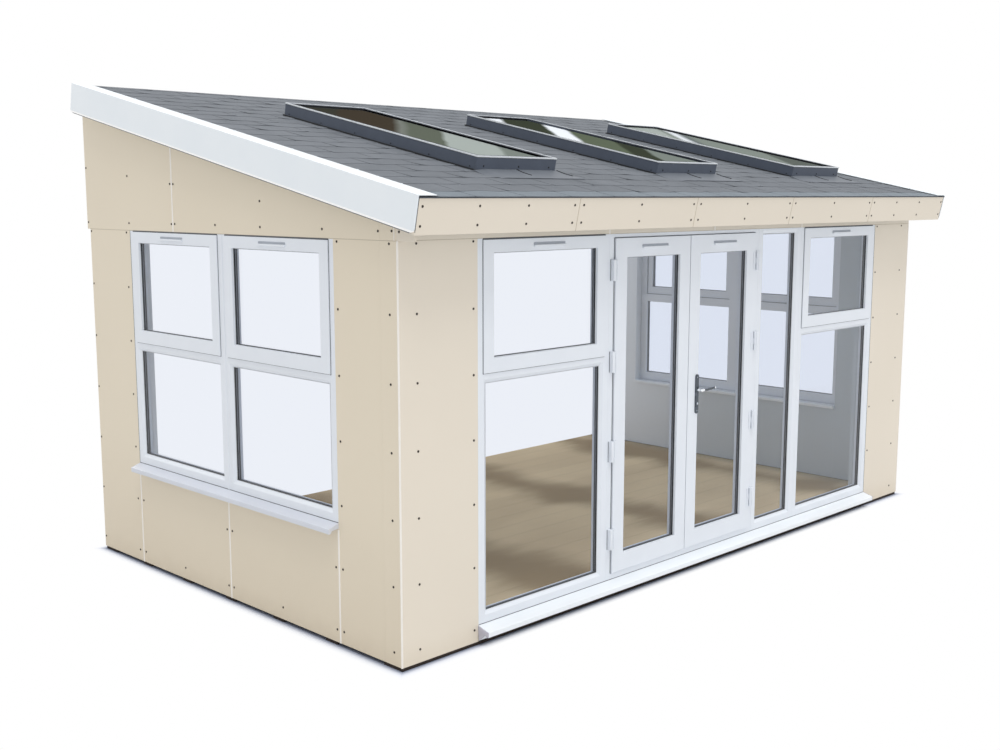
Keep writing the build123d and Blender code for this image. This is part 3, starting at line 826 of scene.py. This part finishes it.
SCREW_ROWS = [0.09 + 0.341 * row for row in range(7)]
BESIDE_JOINT = 0.027
EAVES_END_SCREW = (-0.015, 2.194)
GABLE_SCREWS = [
    (0.039, 2.197), (0.141, 2.195), (0.586, 2.196), (1.138, 2.196),
    (1.136, 2.335), (1.583, 2.2), (2.019, 2.198), (2.057, 2.197), (2.022, 2.431),
    (2.059, 2.432), (2.564, 2.195), (2.565, 2.484), (3.097, 2.193), (3.097, 2.541),
]
PIER_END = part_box("front_left_pier")[1].x - LEFT_X
SIDE_LINES = (0.06, PANEL_JOINTS[0] - 0.031, PANEL_JOINTS[2] + 0.045, DEPTH - 0.014)
FRONT_LINES = (0.12, PIER_END - 0.03, WIDTH - PIER_END + 0.03, WIDTH - 0.12)
FASCIA_LINES = [-0.041, 0.326, 0.666, 1.013, 1.084, 1.57, 2.053, 2.122, 2.605, 3.085, 3.155]
FASCIA_LINES += [3.64, 4.12, 4.19, 4.52, 4.87, 5.226]
beside_joints = [joint + side for joint in PANEL_JOINTS for side in (-BESIDE_JOINT, BESIDE_JOINT)]
beside_joints = [along for along in beside_joints if PANEL_JOINTS[0] < along < PANEL_JOINTS[2]]
board_middles = [(left + right) / 2 for left, right in zip(PANEL_JOINTS, PANEL_JOINTS[1:])]

wall_screws = Shape()
for wall in (LEFT, RIGHT):
    wall_screws.on(wall)
    screw_rows(wall_screws, SIDE_LINES, SCREW_ROWS)
    screw_rows(wall_screws, beside_joints, SCREW_ROWS[:2])
    screw_rows(wall_screws, board_middles, SCREW_ROWS[:1])
    for along, up in GABLE_SCREWS:
        screw(wall_screws, along, up)
screw(wall_screws.on(LEFT), *EAVES_END_SCREW)
screw_rows(wall_screws.on(FRONT), FRONT_LINES, SCREW_ROWS)
screw_rows(wall_screws.on(EAVES), FASCIA_LINES, (-0.054, -0.147))
piece("wall_screws", wall_screws, screw_steel)

# %% [markdown]
# ## Shingle courses
# The felt is laid in courses of tabs, each course covering the top of the one below, with
# its slots over the middles of the tabs under it. It is cut out round the rooflights and
# turns up a little against their upstands. One function gives the lift of any point of the
# roof and another cuts the upstands out of any rectangle, so that every tab can use them.

# %% Courses, turn-ups and cut-outs
SLOT = 0.008
STARTER_SLOT = 0.006
BUTT_DEPTH = 0.0072         # top of a tab's lower edge, under the verge plane
HEAD_DEPTH = 0.0085         # top of a tab where the next course covers it
SHEET = 0.0030
TURN_UP = 0.004             # how far the felt rises against an upstand
TURN_RUN = 0.08             # and how far from it that begins
TUCK = 0.004                # how far the felt goes in under an upstand's foot
WAVES = 2.6                 # half waves along a tab's lower edge
WAVE = 0.011                # the most that they wander
DROP = 0.010                # the most that a tab is laid too low or too high
CURL = 0.0045               # the most that its lower corners lift
COVERED = 0.02              # how far a tab goes on under the next course
FIRST_SLOTS = (0.285, 0.457)    # where the slots of even and odd courses begin
SMALLEST_TAB = 0.03
SMALLEST_CELL = 0.01
sheet_run = boxes_in("roof_shingles", ROOF)[0]
lip = boxes_in("left_verge_trim", ROOF)[0]
RUN_START = lip[0][1] + 0.002
RUN_END = WIDTH - RUN_START
ROOF_END = sheet_run[1][1]
ROOF_START = sheet_run[1][0] + 0.002
upstands = sorted(boxes_in(n, ROOF)[0] for n in nodes if n.endswith("_upstand"))


def turned_up(along, up):
    """How far the felt rises at a point as it turns up against an upstand."""
    lift = 0.0
    for (left, right), (low, high), _ in upstands:
        gap = max(left - along, along - right, low - up, up - high)
        share = max(0.0, 1 - max(gap, 0.0) / TURN_RUN)
        lift = max(lift, TURN_UP * share * share)
    return lift


def open_cells(along, up):
    """What is left of a tab's rectangle once the upstands are cut out of it."""
    cells = [(along, up)]
    for (left, right), (low, high), _ in upstands:
        left, right, low, high = left + TUCK, right - TUCK, low + TUCK, high - TUCK
        kept = []
        for (a0, a1), (u0, u1) in cells:
            if a1 <= left or a0 >= right or u1 <= low or u0 >= high:
                kept.append(((a0, a1), (u0, u1)))
                continue
            kept += [((a0, left), (u0, u1))] if a0 < left else []
            kept += [((right, a1), (u0, u1))] if a1 > right else []
            inner = (max(a0, left), min(a1, right))
            kept += [(inner, (u0, low))] if u0 < low else []
            kept += [(inner, (high, u1))] if u1 > high else []
        cells = kept
    return cells


print(len(upstands), "upstands stand in the courses, which end at", round(ROOF_END, 3))

# %% [markdown]
# ## Laying the tabs
# A tab could be a flat box, but old felt waves along its lower edge and lifts at the
# corners. So each tab is a thin sheet of its own, lying from its lower edge back under the
# next course, bent by one formula and a few random numbers.


# %% Laid tabs
def tab(shape, along, up, butt, wander):
    """One thin sheet, thick edge down the slope, fitted to the turn-ups."""
    swing, phase, corner_curl, drop = wander

    def point(rise, run):
        a = along[0] + (along[1] - along[0]) * run
        u = up[0] + (up[1] - up[0]) * rise
        share = (u - butt) / COURSE
        depth = BUTT_DEPTH + (HEAD_DEPTH - BUTT_DEPTH) * share
        if up[0] == butt:
            u += (1 - rise) * (swing * sin(pi * (WAVES * run + phase)) + drop)
        curl = corner_curl * (1 - min(1.0, share * 2)) * abs(2 * run - 1) ** 3
        return a, u, turned_up(a, u) + curl - depth

    rows = max(2, int((up[1] - up[0]) / 0.045))
    steps = max(2, int((along[1] - along[0]) / 0.03))
    shape.sheet(point, rows, steps, SHEET)


def tabs_from(first_slot):
    """The left and right ends of a course's tabs, with the place of its first slot."""
    slots = [first_slot + TAB * i for i in range(int(WIDTH / TAB))]
    edges = [RUN_START] + [slot for slot in slots if RUN_START <= slot <= RUN_END] + [RUN_END]
    return [ends for ends in zip(edges, edges[1:]) if ends[1] - ends[0] > SMALLEST_TAB]


shingles = Shape().on(ROOF)
for course in range(int((ROOF_END - FIRST_BUTT) / COURSE) + 1):
    butt = FIRST_BUTT + COURSE * course
    head = min(butt + COURSE + COVERED, ROOF_END)
    for left, right in tabs_from(FIRST_SLOTS[course % 2]):
        swing, phase = random.uniform(-WAVE, WAVE), random.random()
        wander = (swing, phase, random.uniform(0, CURL), random.uniform(-DROP, DROP))
        for cell in open_cells((left + SLOT / 2, right - SLOT / 2), (butt, head)):
            if min(end - start for start, end in cell) > SMALLEST_CELL:
                tab(shingles, *cell, butt, wander)
piece("roof_shingle_tabs", shingles, shingle_felt, smooth=20)

starter = Shape().on(ROOF)
for left, right in tabs_from(FIRST_SLOTS[0]):
    ends = (left + STARTER_SLOT / 2, right - STARTER_SLOT / 2)
    tab(starter, ends, (ROOF_START, FIRST_BUTT + COVERED), ROOF_START, (0.0, 0.0, CURL / 3, 0.0))
piece("roof_starter_course", starter, starter_felt, smooth=20)

# %% [markdown]
# ## Rooflight flashings and caps
# In front of each rooflight a smooth sheet carries the rain over the shingles, with a folded joint
# near its middle and an outer end that sweeps away in a curve; black lines of painted shadow run
# along that joint and that end. A pale cap of folded metal closes the top of the upstand, with a
# black gasket under it and another between it and the glass, and a black ring of painted shadow
# runs round the upstand's foot. The sheets are bent in one formula, and the caps, gaskets and the
# shadow at the foot are rings about the upstand's own outline.

# %% Aprons, caps, gaskets and screws
APRON_BUTT = 0.458          # lower edge of the sheets, up the slope
APRON_SHEET = 0.003
APRON_LAP = 0.015           # how far a sheet reaches past each side of its upstand
APRON_FLARE = 0.05          # and how much further at its lower right corner
APRON_ROWS, APRON_STEPS = 8, 24
APRON_RISE = 0.008          # how far it climbs to the upstand
LEFT_DIP = 0.006            # and how far its left edge is dressed down
FOLD = 0.004                # height of the folded joint left of its middle
SHADOW_LINE_SECTION = [(-0.0035, 0), (0.0015, 0), (0.0015, 0.0035), (-0.0035, 0.0035)]
CAP_TALL = 0.007
CAP_WIDE = 0.010
SKIN = 0.002                # thickness of the caps and of the gasket under them
FOOT_GROW = 0.007           # how far the painted shadow at the foot stands out from the upstand
FRONT_SCREWS = (0.09, 0.52, 0.91)   # shares of the width
SIDE_SCREWS = [0.05 + 0.34 * number for number in range(6)]


def apron(left, right, low):
    """The upper side of the sheet in front of an upstand, from shares up and along it."""
    def point(rise, run):
        wide = right - left + 2 * APRON_LAP + APRON_FLARE * (1 - rise) ** 2.2
        a = left - APRON_LAP + wide * run
        u = APRON_BUTT + (low - 0.001 - APRON_BUTT) * rise
        lift = APRON_RISE * rise ** 2 - 0.0035
        lift += FOLD * max(0.0, 1 - abs(a - (left + right) / 2 + 0.02) / 0.010)
        lift -= LEFT_DIP * max(0.0, 1 - run * 8)
        return a, u, lift + turned_up(a, u)

    return point


aprons, caps, gaskets, roof_screws, foot_shadows = [Shape().on(ROOF) for _ in range(5)]
for (left, right), (low, high), (_, top) in upstands:
    point = apron(left, right, low)
    aprons.sheet(point, APRON_ROWS, APRON_STEPS, APRON_SHEET)
    # Black lines of painted shadow along the apron's fold and its right edge.
    for run in (0.5, 1):
        joint = [point(r / APRON_ROWS, run) for r in range(3, APRON_ROWS + 1)]
        foot_shadows.solid([
            [(a + side, u, o + rise) for side, rise in SHADOW_LINE_SECTION] for a, u, o in joint
        ])
    # A black ring of painted shadow round the upstand's foot.
    foot = (left - FOOT_GROW, right + FOOT_GROW), (low - 0.004, high + FOOT_GROW)
    foot_shadows.ring(*foot, (-0.008, 0.0045), 0.008)
    for shape, grow, out, width in (
        (caps, 0.002, (top - CAP_TALL + SKIN, top + SKIN), CAP_WIDE),
        (gaskets, -0.008, (top - 0.012, top), 0.032),
        (gaskets, 0.001, (top - CAP_TALL, top - CAP_TALL + SKIN), CAP_WIDE),
    ):
        shape.ring((left - grow, right + grow), (low - grow, high + grow), out, width)
    roof_screws.on(face(ROOF @ Vector((0, low, 0)), AXIS_X, ROOF_NORMAL, -UP_SLOPE))
    for share in FRONT_SCREWS:
        screw(roof_screws, left + (right - left) * share, 0.024, 0.0055)
    for edge, way in ((left, -1), (right, 1)):
        roof_screws.on(face(ROOF @ Vector((edge, 0, 0)), UP_SLOPE, ROOF_NORMAL, way * AXIS_X))
        for along in SIDE_SCREWS:
            screw(roof_screws, low + along, 0.014, 0.0045)
piece("rooflight_aprons", aprons, flashing, smooth=30)
piece("rooflight_caps", caps, cap_metal)
piece("rooflight_gaskets", gaskets, black_seal)
piece("rooflight_screws", roof_screws, black_seal)
piece("rooflight_foot_shadows", foot_shadows, black_seal)

# %% [markdown]
# ## Glazing edges
# A sealed unit is two sheets held apart by a metal spacer and closed with black sealant.
# Seen at an angle, that edge is the dark band with a bright line that makes a window look
# double glazed. Each pane gets a sealant ring inside its thickness, a spacer ring in the
# middle of it, a black wedge along its foot and a grey gasket round both of its faces.

# %% Edge seals and spacers
SEAL = 0.0035
SPACER = 0.0055
SPACER_WIDE = 0.004
BEAD = 0.003
WEDGE = 0.0055              # height of the black gasket that the pane stands on
glazed = {
    "front_window_glass": (FRONT, "building"),
    "left_window_glass": (LEFT, "building"),
    "right_window_glass": (RIGHT, "building"),
    "door_left_glass": (FRONT, "door_left"),
    "door_right_glass": (FRONT, "door_right"),
}
for name, (place, body) in glazed.items():
    seals, spacers, beads = [Shape().on(place) for _ in range(3)]
    for along, up, (rear, front) in boxes_in(name, place):
        middle = (rear + front) / 2
        foot = (along[0] + BEAD, along[1] - BEAD)
        seals.ring(along, up, (rear + 0.002, front - 0.002), SEAL)
        seals.box(foot, (up[0], up[0] + WEDGE), (front, front + 0.0022))
        spacers.ring(along, up, (middle - SPACER_WIDE / 2, middle + SPACER_WIDE / 2), SPACER)
        beads.ring(along, up, (front, front + 0.0025), BEAD)
        beads.ring(along, up, (rear - 0.0025, rear), BEAD)
    stem = name.replace("_glass", "")
    piece(stem + "_edge_seals", seals, black_seal, body)
    piece(stem + "_spacers", spacers, spacer_metal, body)
    piece(stem + "_gaskets", beads, grey_gasket, body)

# %% [markdown]
# ## Gaskets, joint lines and painted shade
# White on white would vanish without its dark lines. A dark ring runs round each sash on the
# frame's face, part gasket and part painted shade of the gap, and a gasket runs round its room
# side. The frame's head above each sash is painted dark for the shadow there, and so is a strip
# beside each door leaf. A sealed joint shows where a frame stands on its sill or meets the wall.
# Thin rings and boxes on the faces draw them all without a cut in the CAD.

# %% Sash gaskets, joint lines and painted shade
JOINT = 0.0032
LINE = 0.0008               # how far a line stands proud of the face it is drawn on
FACE_LINE = (0, LINE)
LEFT_DOOR_GAP, RIGHT_DOOR_GAP = 0.005, 0.010    # from a leaf's edge to the painted shade beside it
SASHES = [
    ("front_window_sashes", FRONT), ("left_window_sashes", LEFT), ("right_window_sashes", RIGHT),
]
SIDE_FRAMES = [("left_window_frame", LEFT), ("right_window_frame", RIGHT)]
sill_top = boxes_in("front_sill", FRONT)[0][1][1]
left_leaf, door_rise, _ = boxes_in("door_left_leaf", FRONT)[0]
doorway = (left_leaf[0], boxes_in("door_right_leaf", FRONT)[0][0][1])

frame_lines, room_lines = Shape(), Shape()
for name, place in SASHES:
    for along, up, _ in boxes_in(name, place):
        # A dark ring round the sash: part gasket, part painted shade of the gap.
        wide, tall = (along[0] - JOINT, along[1] + JOINT), (up[0] - JOINT, up[1] + JOINT)
        frame_lines.on(place).ring(wide, tall, FACE_LINE, JOINT)
        # Painted shade over the frame's head above the sash.
        frame_lines.box(along, (up[1] + JOINT, WALL_HEAD), FACE_LINE)
    for along, up, out in boxes_in(name, place, rear=True):
        room_lines.on(place).ring(along, up, (out[0] - LINE, out[0]), JOINT)
for name, place in SIDE_FRAMES:
    along, up, _ = boxes_in(name, place)[0]
    frame_lines.on(place).box(along, (up[0], up[0] + JOINT), FACE_LINE)
    frame_lines.box((along[1] - JOINT, along[1]), up, FACE_LINE)
frame_lines.on(FRONT)
frame_lines.box((PIER_END, WIDTH - PIER_END), (sill_top, sill_top + JOINT), FACE_LINE)
# The joint where the frame meets the right pier, and painted shade beside each door leaf.
for end, rise in (
    (WIDTH - PIER_END, (sill_top, WALL_HEAD)),
    (doorway[0] - LEFT_DOOR_GAP, door_rise),
    (doorway[1] + RIGHT_DOOR_GAP + JOINT, door_rise),
):
    frame_lines.box((end - JOINT, end), rise, FACE_LINE)
piece("frame_joint_and_shade_lines", frame_lines, dark_joint_and_shade)
piece("sash_room_gaskets", room_lines, black_seal)

# %% [markdown]
# ## Trickle vents
# Every sash and door leaf has a slim ventilator on its top rail: a dark slot with round
# ends and a white hood under it that throws the rain off. Both are rows of round-ended
# outlines set one on the other, the upper ones smaller.

# %% Trickle vents
VENT_LENGTH = 0.25
VENT_HALF = 0.0062          # half the height of the slot, and of the hood under it


def vent(slots, hoods, centre, up, out):
    """A slot with round ends and the hood below it, centred on a rail."""
    def outline(middle, inset, depth):
        half, radius = VENT_LENGTH / 2 - VENT_HALF, VENT_HALF - inset
        points = []
        for end, start in ((half, -pi / 2), (-half, pi / 2)):
            for i in range(7):
                turn = start + pi * i / 6
                along = centre + end + radius * cos(turn)
                points.append((along, middle + radius * sin(turn), depth))
        return points

    slots.solid([outline(up + VENT_HALF, 0.0, out + rise) for rise in (0.0, 0.002)])
    layers = [(0.0, 0.0), (0.0, 0.009), (0.0015, 0.0118), (0.004, 0.0125)]
    hoods.solid([outline(up - VENT_HALF, inset, out + rise) for inset, rise in layers])


vent_grey = satin("vent_slot_shadow", srgb(176, 182, 192), srgb(160, 166, 177), 0.6)
vents, slots = Shape(), Shape()
for name, place in SASHES:
    for along, up, out in boxes_in(name, place):
        vent(slots.on(place), vents.on(place), sum(along) / 2 + 0.01, up[1] - 0.034, out[1])
piece("sash_vent_hoods", vents, plastic)
piece("sash_vent_slots", slots, vent_grey)
for side in ("left", "right"):
    along, up, out = boxes_in(f"door_{side}_leaf", FRONT)[0]
    hood, slot = Shape().on(FRONT), Shape().on(FRONT)
    vent(slot, hood, sum(along) / 2 + 0.006, up[1] - 0.052, out[1])
    piece(f"door_{side}_vent_hood", hood, plastic, f"door_{side}")
    piece(f"door_{side}_vent_slot", slot, vent_grey, f"door_{side}")

# %% [markdown]
# ## Hinge covers
# The frame half of each door hinge is hidden by a moulded cover that clips over its plate.
# It is a slim box with rounded edges, and a thin strip of painted shade draws the outer edge of the
# left ones.

# %% Hinge covers
COVER_WIDE = 0.0225
COVER_PROUD = 0.026
SHADE_STRIP = 0.003
covers, hinge_shade_strips = Shape(), Shape()
for along, up, _ in boxes_in("door_frame_hinges", FRONT):
    way = -1 if sum(along) < sum(doorway) else 1
    outer = along[0] - 0.002 if way < 0 else along[1] + 0.002
    covers.box(sorted((outer, outer - way * COVER_WIDE)), up, (0.0, COVER_PROUD), 0.003)
    # A strip of painted shade along the outer edge of the left covers.
    if way < 0:
        hinge_shade_strips.box((outer - SHADE_STRIP, outer), up, FACE_LINE)
piece("door_hinge_covers", covers, plastic)
piece("door_hinge_shade_strips", hinge_shade_strips, dark_joint_and_shade)

# %% [markdown]
# ## Edges of the verge trims
# The trims are folded sheet. Under the foot a dark strip of painted shadow hangs, a sealed joint
# closes the front end against the fascia, and round caps hold the lip down.

# %% Painted shadows, end joints and lip caps
trim_shadows_and_joints, lip_caps = Shape(), Shape()
TRIM_SHADOW = 0.004
LIP_CAP_IN = 0.104          # from a trim's outer face to the middle of its lip caps
LIP_CAP = [(0.008, -0.001), (0.008, 0.002), (0.006, 0.004)]
CAPS_UP = [0.238, 0.575, 1.127, 1.669, 2.221, 2.773, 3.335]
for name, mirror in (("left_verge_trim", 1), ("right_verge_trim", -1)):
    along, up, out = boxes_in(name, ROOF)[0]
    outer = along[0] if mirror > 0 else along[1]
    sheet = sorted((outer + mirror * 0.001, outer + mirror * 0.009))
    # A strip of painted shadow under the trim's foot.
    trim_shadows_and_joints.on(ROOF).box(sheet, (up[0] + 0.03, up[1] - 0.03), (out[0] - TRIM_SHADOW, out[0] + 0.001))
    joint = sorted((outer + mirror * 0.010, outer + mirror * 0.014))
    trim_shadows_and_joints.on(EAVES).box(joint, (out[0] + 0.004, -0.006), FACE_LINE)
    for rise in CAPS_UP:
        lip_caps.on(ROOF).turned(outer + mirror * LIP_CAP_IN, rise, LIP_CAP)
piece("verge_shadows_and_joints", trim_shadows_and_joints, dark_joint_and_shade)
piece("verge_lip_caps", lip_caps, trim_white)

# %% [markdown]
# ## Coupling covers and sill ends
# The side window is two frames coupled by a narrow cover on the middle post, and the front
# sill is closed by moulded end caps a shade darker than the extrusion.

# %% Coupling covers and sill caps
couplings = Shape()
for name, place in SIDE_FRAMES:
    along, up, _ = boxes_in(name, place)[0]
    section = strip_section(sum(along) / 2, 0.022, 0.003)
    couplings.on(place).rise(section, (up[0] + CLEAR, up[1] - CLEAR))
piece("mullion_covers", couplings, plastic)

cap_grey = satin("sill_cap_plastic", srgb(198, 198, 212), srgb(188, 188, 203), 0.35)
sill = boxes_in("front_sill", FRONT)[0]
caps_shape = Shape().on(FRONT)
CAP_PROFILE = [
    (0.110, 0.0), (0.087, 0.078), (0.059, 0.078), (0.059, 0.062), (0.067, 0.054), (0.025, 0.006),
]
for end, way in ((sill[0][0], -1), (sill[0][1], 1)):
    caps_shape.run(CAP_PROFILE, sorted((end, end + way * 0.004)), 0.001)
piece("front_sill_caps", caps_shape, cap_grey)

# %% [markdown]
# ## The door handle
# The lever is cast and polished: a round boss on the plate, then a bar that swells, rises a little
# and tapers to its tip. Rings are listed along that line and smoothed with a subdivision surface,
# which keeps the highlights flowing. It turns on its own joint, so it rides on the handle body and
# stands for the plain CAD levers.

# %% Levers and cylinder
plates = boxes_in("door_handle_plates", FRONT)
levers = boxes_in("door_handle_levers", FRONT)[0]
axis_along = sum(plates[0][0]) / 2
axis_up = sum(levers[1]) / 2
inside, outside = levers[2]
STATIONS = [
    # along, lift, half thickness out, half height
    (-0.010, 0.000, 0.004, 0.005),
    (-0.006, 0.000, 0.007, 0.009),
    (0.004, 0.000, 0.008, 0.010),
    (0.022, 0.000, 0.0065, 0.009),
    (0.050, -0.001, 0.005, 0.0075),
    (0.085, 0.000, 0.0045, 0.007),
    (0.118, 0.002, 0.0045, 0.0075),
    (0.142, 0.004, 0.0055, 0.008),
    (0.152, 0.004, 0.004, 0.006),
]


def lever(shape, centre_out):
    shape.solid([
        [(axis_along + along, u, o) for o, u in oval(centre_out, axis_up + lift, thick, tall, 10)]
        for along, lift, thick, tall in STATIONS
    ])


lever_shape = Shape().on(FRONT)
lever(lever_shape, outside - 0.006)
lever(lever_shape, inside + 0.006)
lever_shape.turned(axis_along, axis_up, [
    (0.0045, inside + 0.004), (0.0045, outside - 0.034), (0.0105, outside - 0.033),
    (0.0105, outside - 0.026), (0.007, outside - 0.020), (0.0075, outside - 0.008),
], 16)
lever_chrome = Finish("cast_lever_chrome")
spot = lever_chrome.place()
x, y, z = lever_chrome.split(spot)
reach = x - LEFT_X - axis_along
ends = (reach < 0.026) + (reach > 0.136)
lever_chrome.surface(
    Base_Color=lever_chrome.mix(ends, srgb(84, 90, 98), srgb(238, 241, 245)),
    Roughness=0.12 + 0.1 * lever_chrome.mottle(spot, 40.0),
    Metallic=0.7,
)
cast = piece("door_handle_cast_levers", lever_shape, lever_chrome, "door_handle", 60)
smoother = cast.modifiers.new("smooth_cast", "SUBSURF")
smoother.levels = smoother.render_levels = 1
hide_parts("door_handle_levers")

SCREW_CAP = [(0.004, -0.001), (0.004, 0.001), (0.0028, 0.002)]
BARREL = [(0.0085, -0.001), (0.0085, 0.003), (0.007, 0.0038), (0.0025, 0.0038)]
key_shape = Shape().on(FRONT)
for (_, (low, high), out), way in ((plates[-1], 1), (plates[0], -1)):
    surface = out[1] if way > 0 else out[0]
    for up, profile, sides in (
        (low + 0.018, SCREW_CAP, 12), (high - 0.018, SCREW_CAP, 12), (low + 0.064, BARREL, 20),
    ):
        placed = [(radius, surface + way * rise) for radius, rise in profile]
        key_shape.turned(axis_along, up, placed, sides)
piece("door_handle_cylinder", key_shape, chrome, "door_right")

# %% [markdown]
# ## The studio floor
# The pod stands in a white studio. Close to the walls the floor holds their contact shadow, and
# there its colour is a painted shadow too: blue-grey under and beside the walls, pale blue a little
# further out. A hand's width out it fades to the same white as the world, for the camera, mirrors
# and glass only, so it still bounces no more light than a floor does.

# %% Studio floor
REACH = 60.0
floor_mesh = bpy.data.meshes.new("studio_floor")
corners = [(-REACH, -REACH, 0), (REACH, -REACH, 0), (REACH, REACH, 0), (-REACH, REACH, 0)]
floor_mesh.from_pydata(corners, [], [(0, 1, 2, 3)])
studio_floor = bpy.data.objects.new("studio_floor", floor_mesh)
bpy.context.scene.collection.objects.link(studio_floor)


def seen_white(finish):
    """1 for the rays of the eye, of mirrors and of glass, 0 for those that carry light."""
    rays = finish.node("ShaderNodeLightPath", {}, {})
    seen = rays.math("MAXIMUM", rays, rays.pick("Is Glossy Ray"))
    return rays.math("MAXIMUM", seen, rays.pick("Is Transmission Ray"))


studio = Finish("studio_floor")
x, y, z = studio.split(studio.place())
from_walls = x.math("MAXIMUM", abs(x) + LEFT_X, abs(y) + front_y)
seen = seen_white(studio)
# Painted shadow: blue-grey close to the walls, pale blue further out.
shade = studio.mix(studio.fade(from_walls, -0.02, 0.05), srgb(120, 128, 148), srgb(225, 230, 244))
bounce = studio.mix(seen, srgb(222, 222, 222), shade)
studio.surface(Base_Color=bounce, Roughness=1.0, Specular_IOR_Level=0.0)
glow = studio.node("ShaderNodeEmission", {}, {"Color": srgb(255, 255, 255), "Strength": 1.0})
studio.blend(seen * studio.fade(from_walls, 0.0, 0.075), studio.own, glow)
floor_mesh.materials.append(studio.material)
print("studio floor made")

# %% [markdown]
# ## The world
# A white wall all round could light the pod, but would bleach it too. The world is plain
# white where it is seen, and dimmer as a light, so that pale boards keep their tone.

# %% World
DAYLIGHT = 0.68             # strength of the world as a light
world = bpy.data.worlds.new("white_studio")
bpy.context.scene.world = world
sky = Finish("white_studio", world, "Background", "World Output")
sky.surface(Color=(1, 1, 1, 1), Strength=seen_white(sky) * (1.0 - DAYLIGHT) + DAYLIGHT)
print("world made")

# %% [markdown]
# ## Suns and camera
# One wide sun stands high and models the tops, a weak one comes from the front, and one
# from behind reaches through the open back onto the floor. Their wide angles soften every
# shadow, as a bright grey sky does.

# %% Suns and camera
SUNS = {
    # name: energy, angle, direction
    "high_sun": (1.7, 40, (0.10, 0.25, -1.0)),
    "front_sun": (0.38, 25, (0.06, 1.0, -0.08)),
    "back_sun": (0.8, 15, (0.0, -1.0, -0.4)),
}
for name, (energy, spread, direction) in SUNS.items():
    sun = bpy.data.objects.new(name, bpy.data.lights.new(name, "SUN"))
    sun.data.energy = energy
    sun.data.angle = radians(spread)
    sun.rotation_euler = Vector(direction).to_track_quat("-Z", "Y").to_euler()
    bpy.context.scene.collection.objects.link(sun)

camera = bpy.data.objects.new("camera", bpy.data.cameras.new("camera"))
camera.location = (-6.3485, -5.9635, 2.365)
camera.rotation_euler = (radians(90 - 8.432), 0, radians(-45.157))
camera.data.lens = 43.61
camera.data.sensor_width = 36
bpy.context.scene.collection.objects.link(camera)
bpy.context.scene.camera = camera
bpy.context.scene.view_settings.view_transform = "Standard"
print("camera at", tuple(camera.location))

# %% [markdown]
# ## Bringing the scene up to date
# The last cell updates the view layer, so that every piece stands where it was put.

# %% Update the scene
bpy.context.view_layer.update()
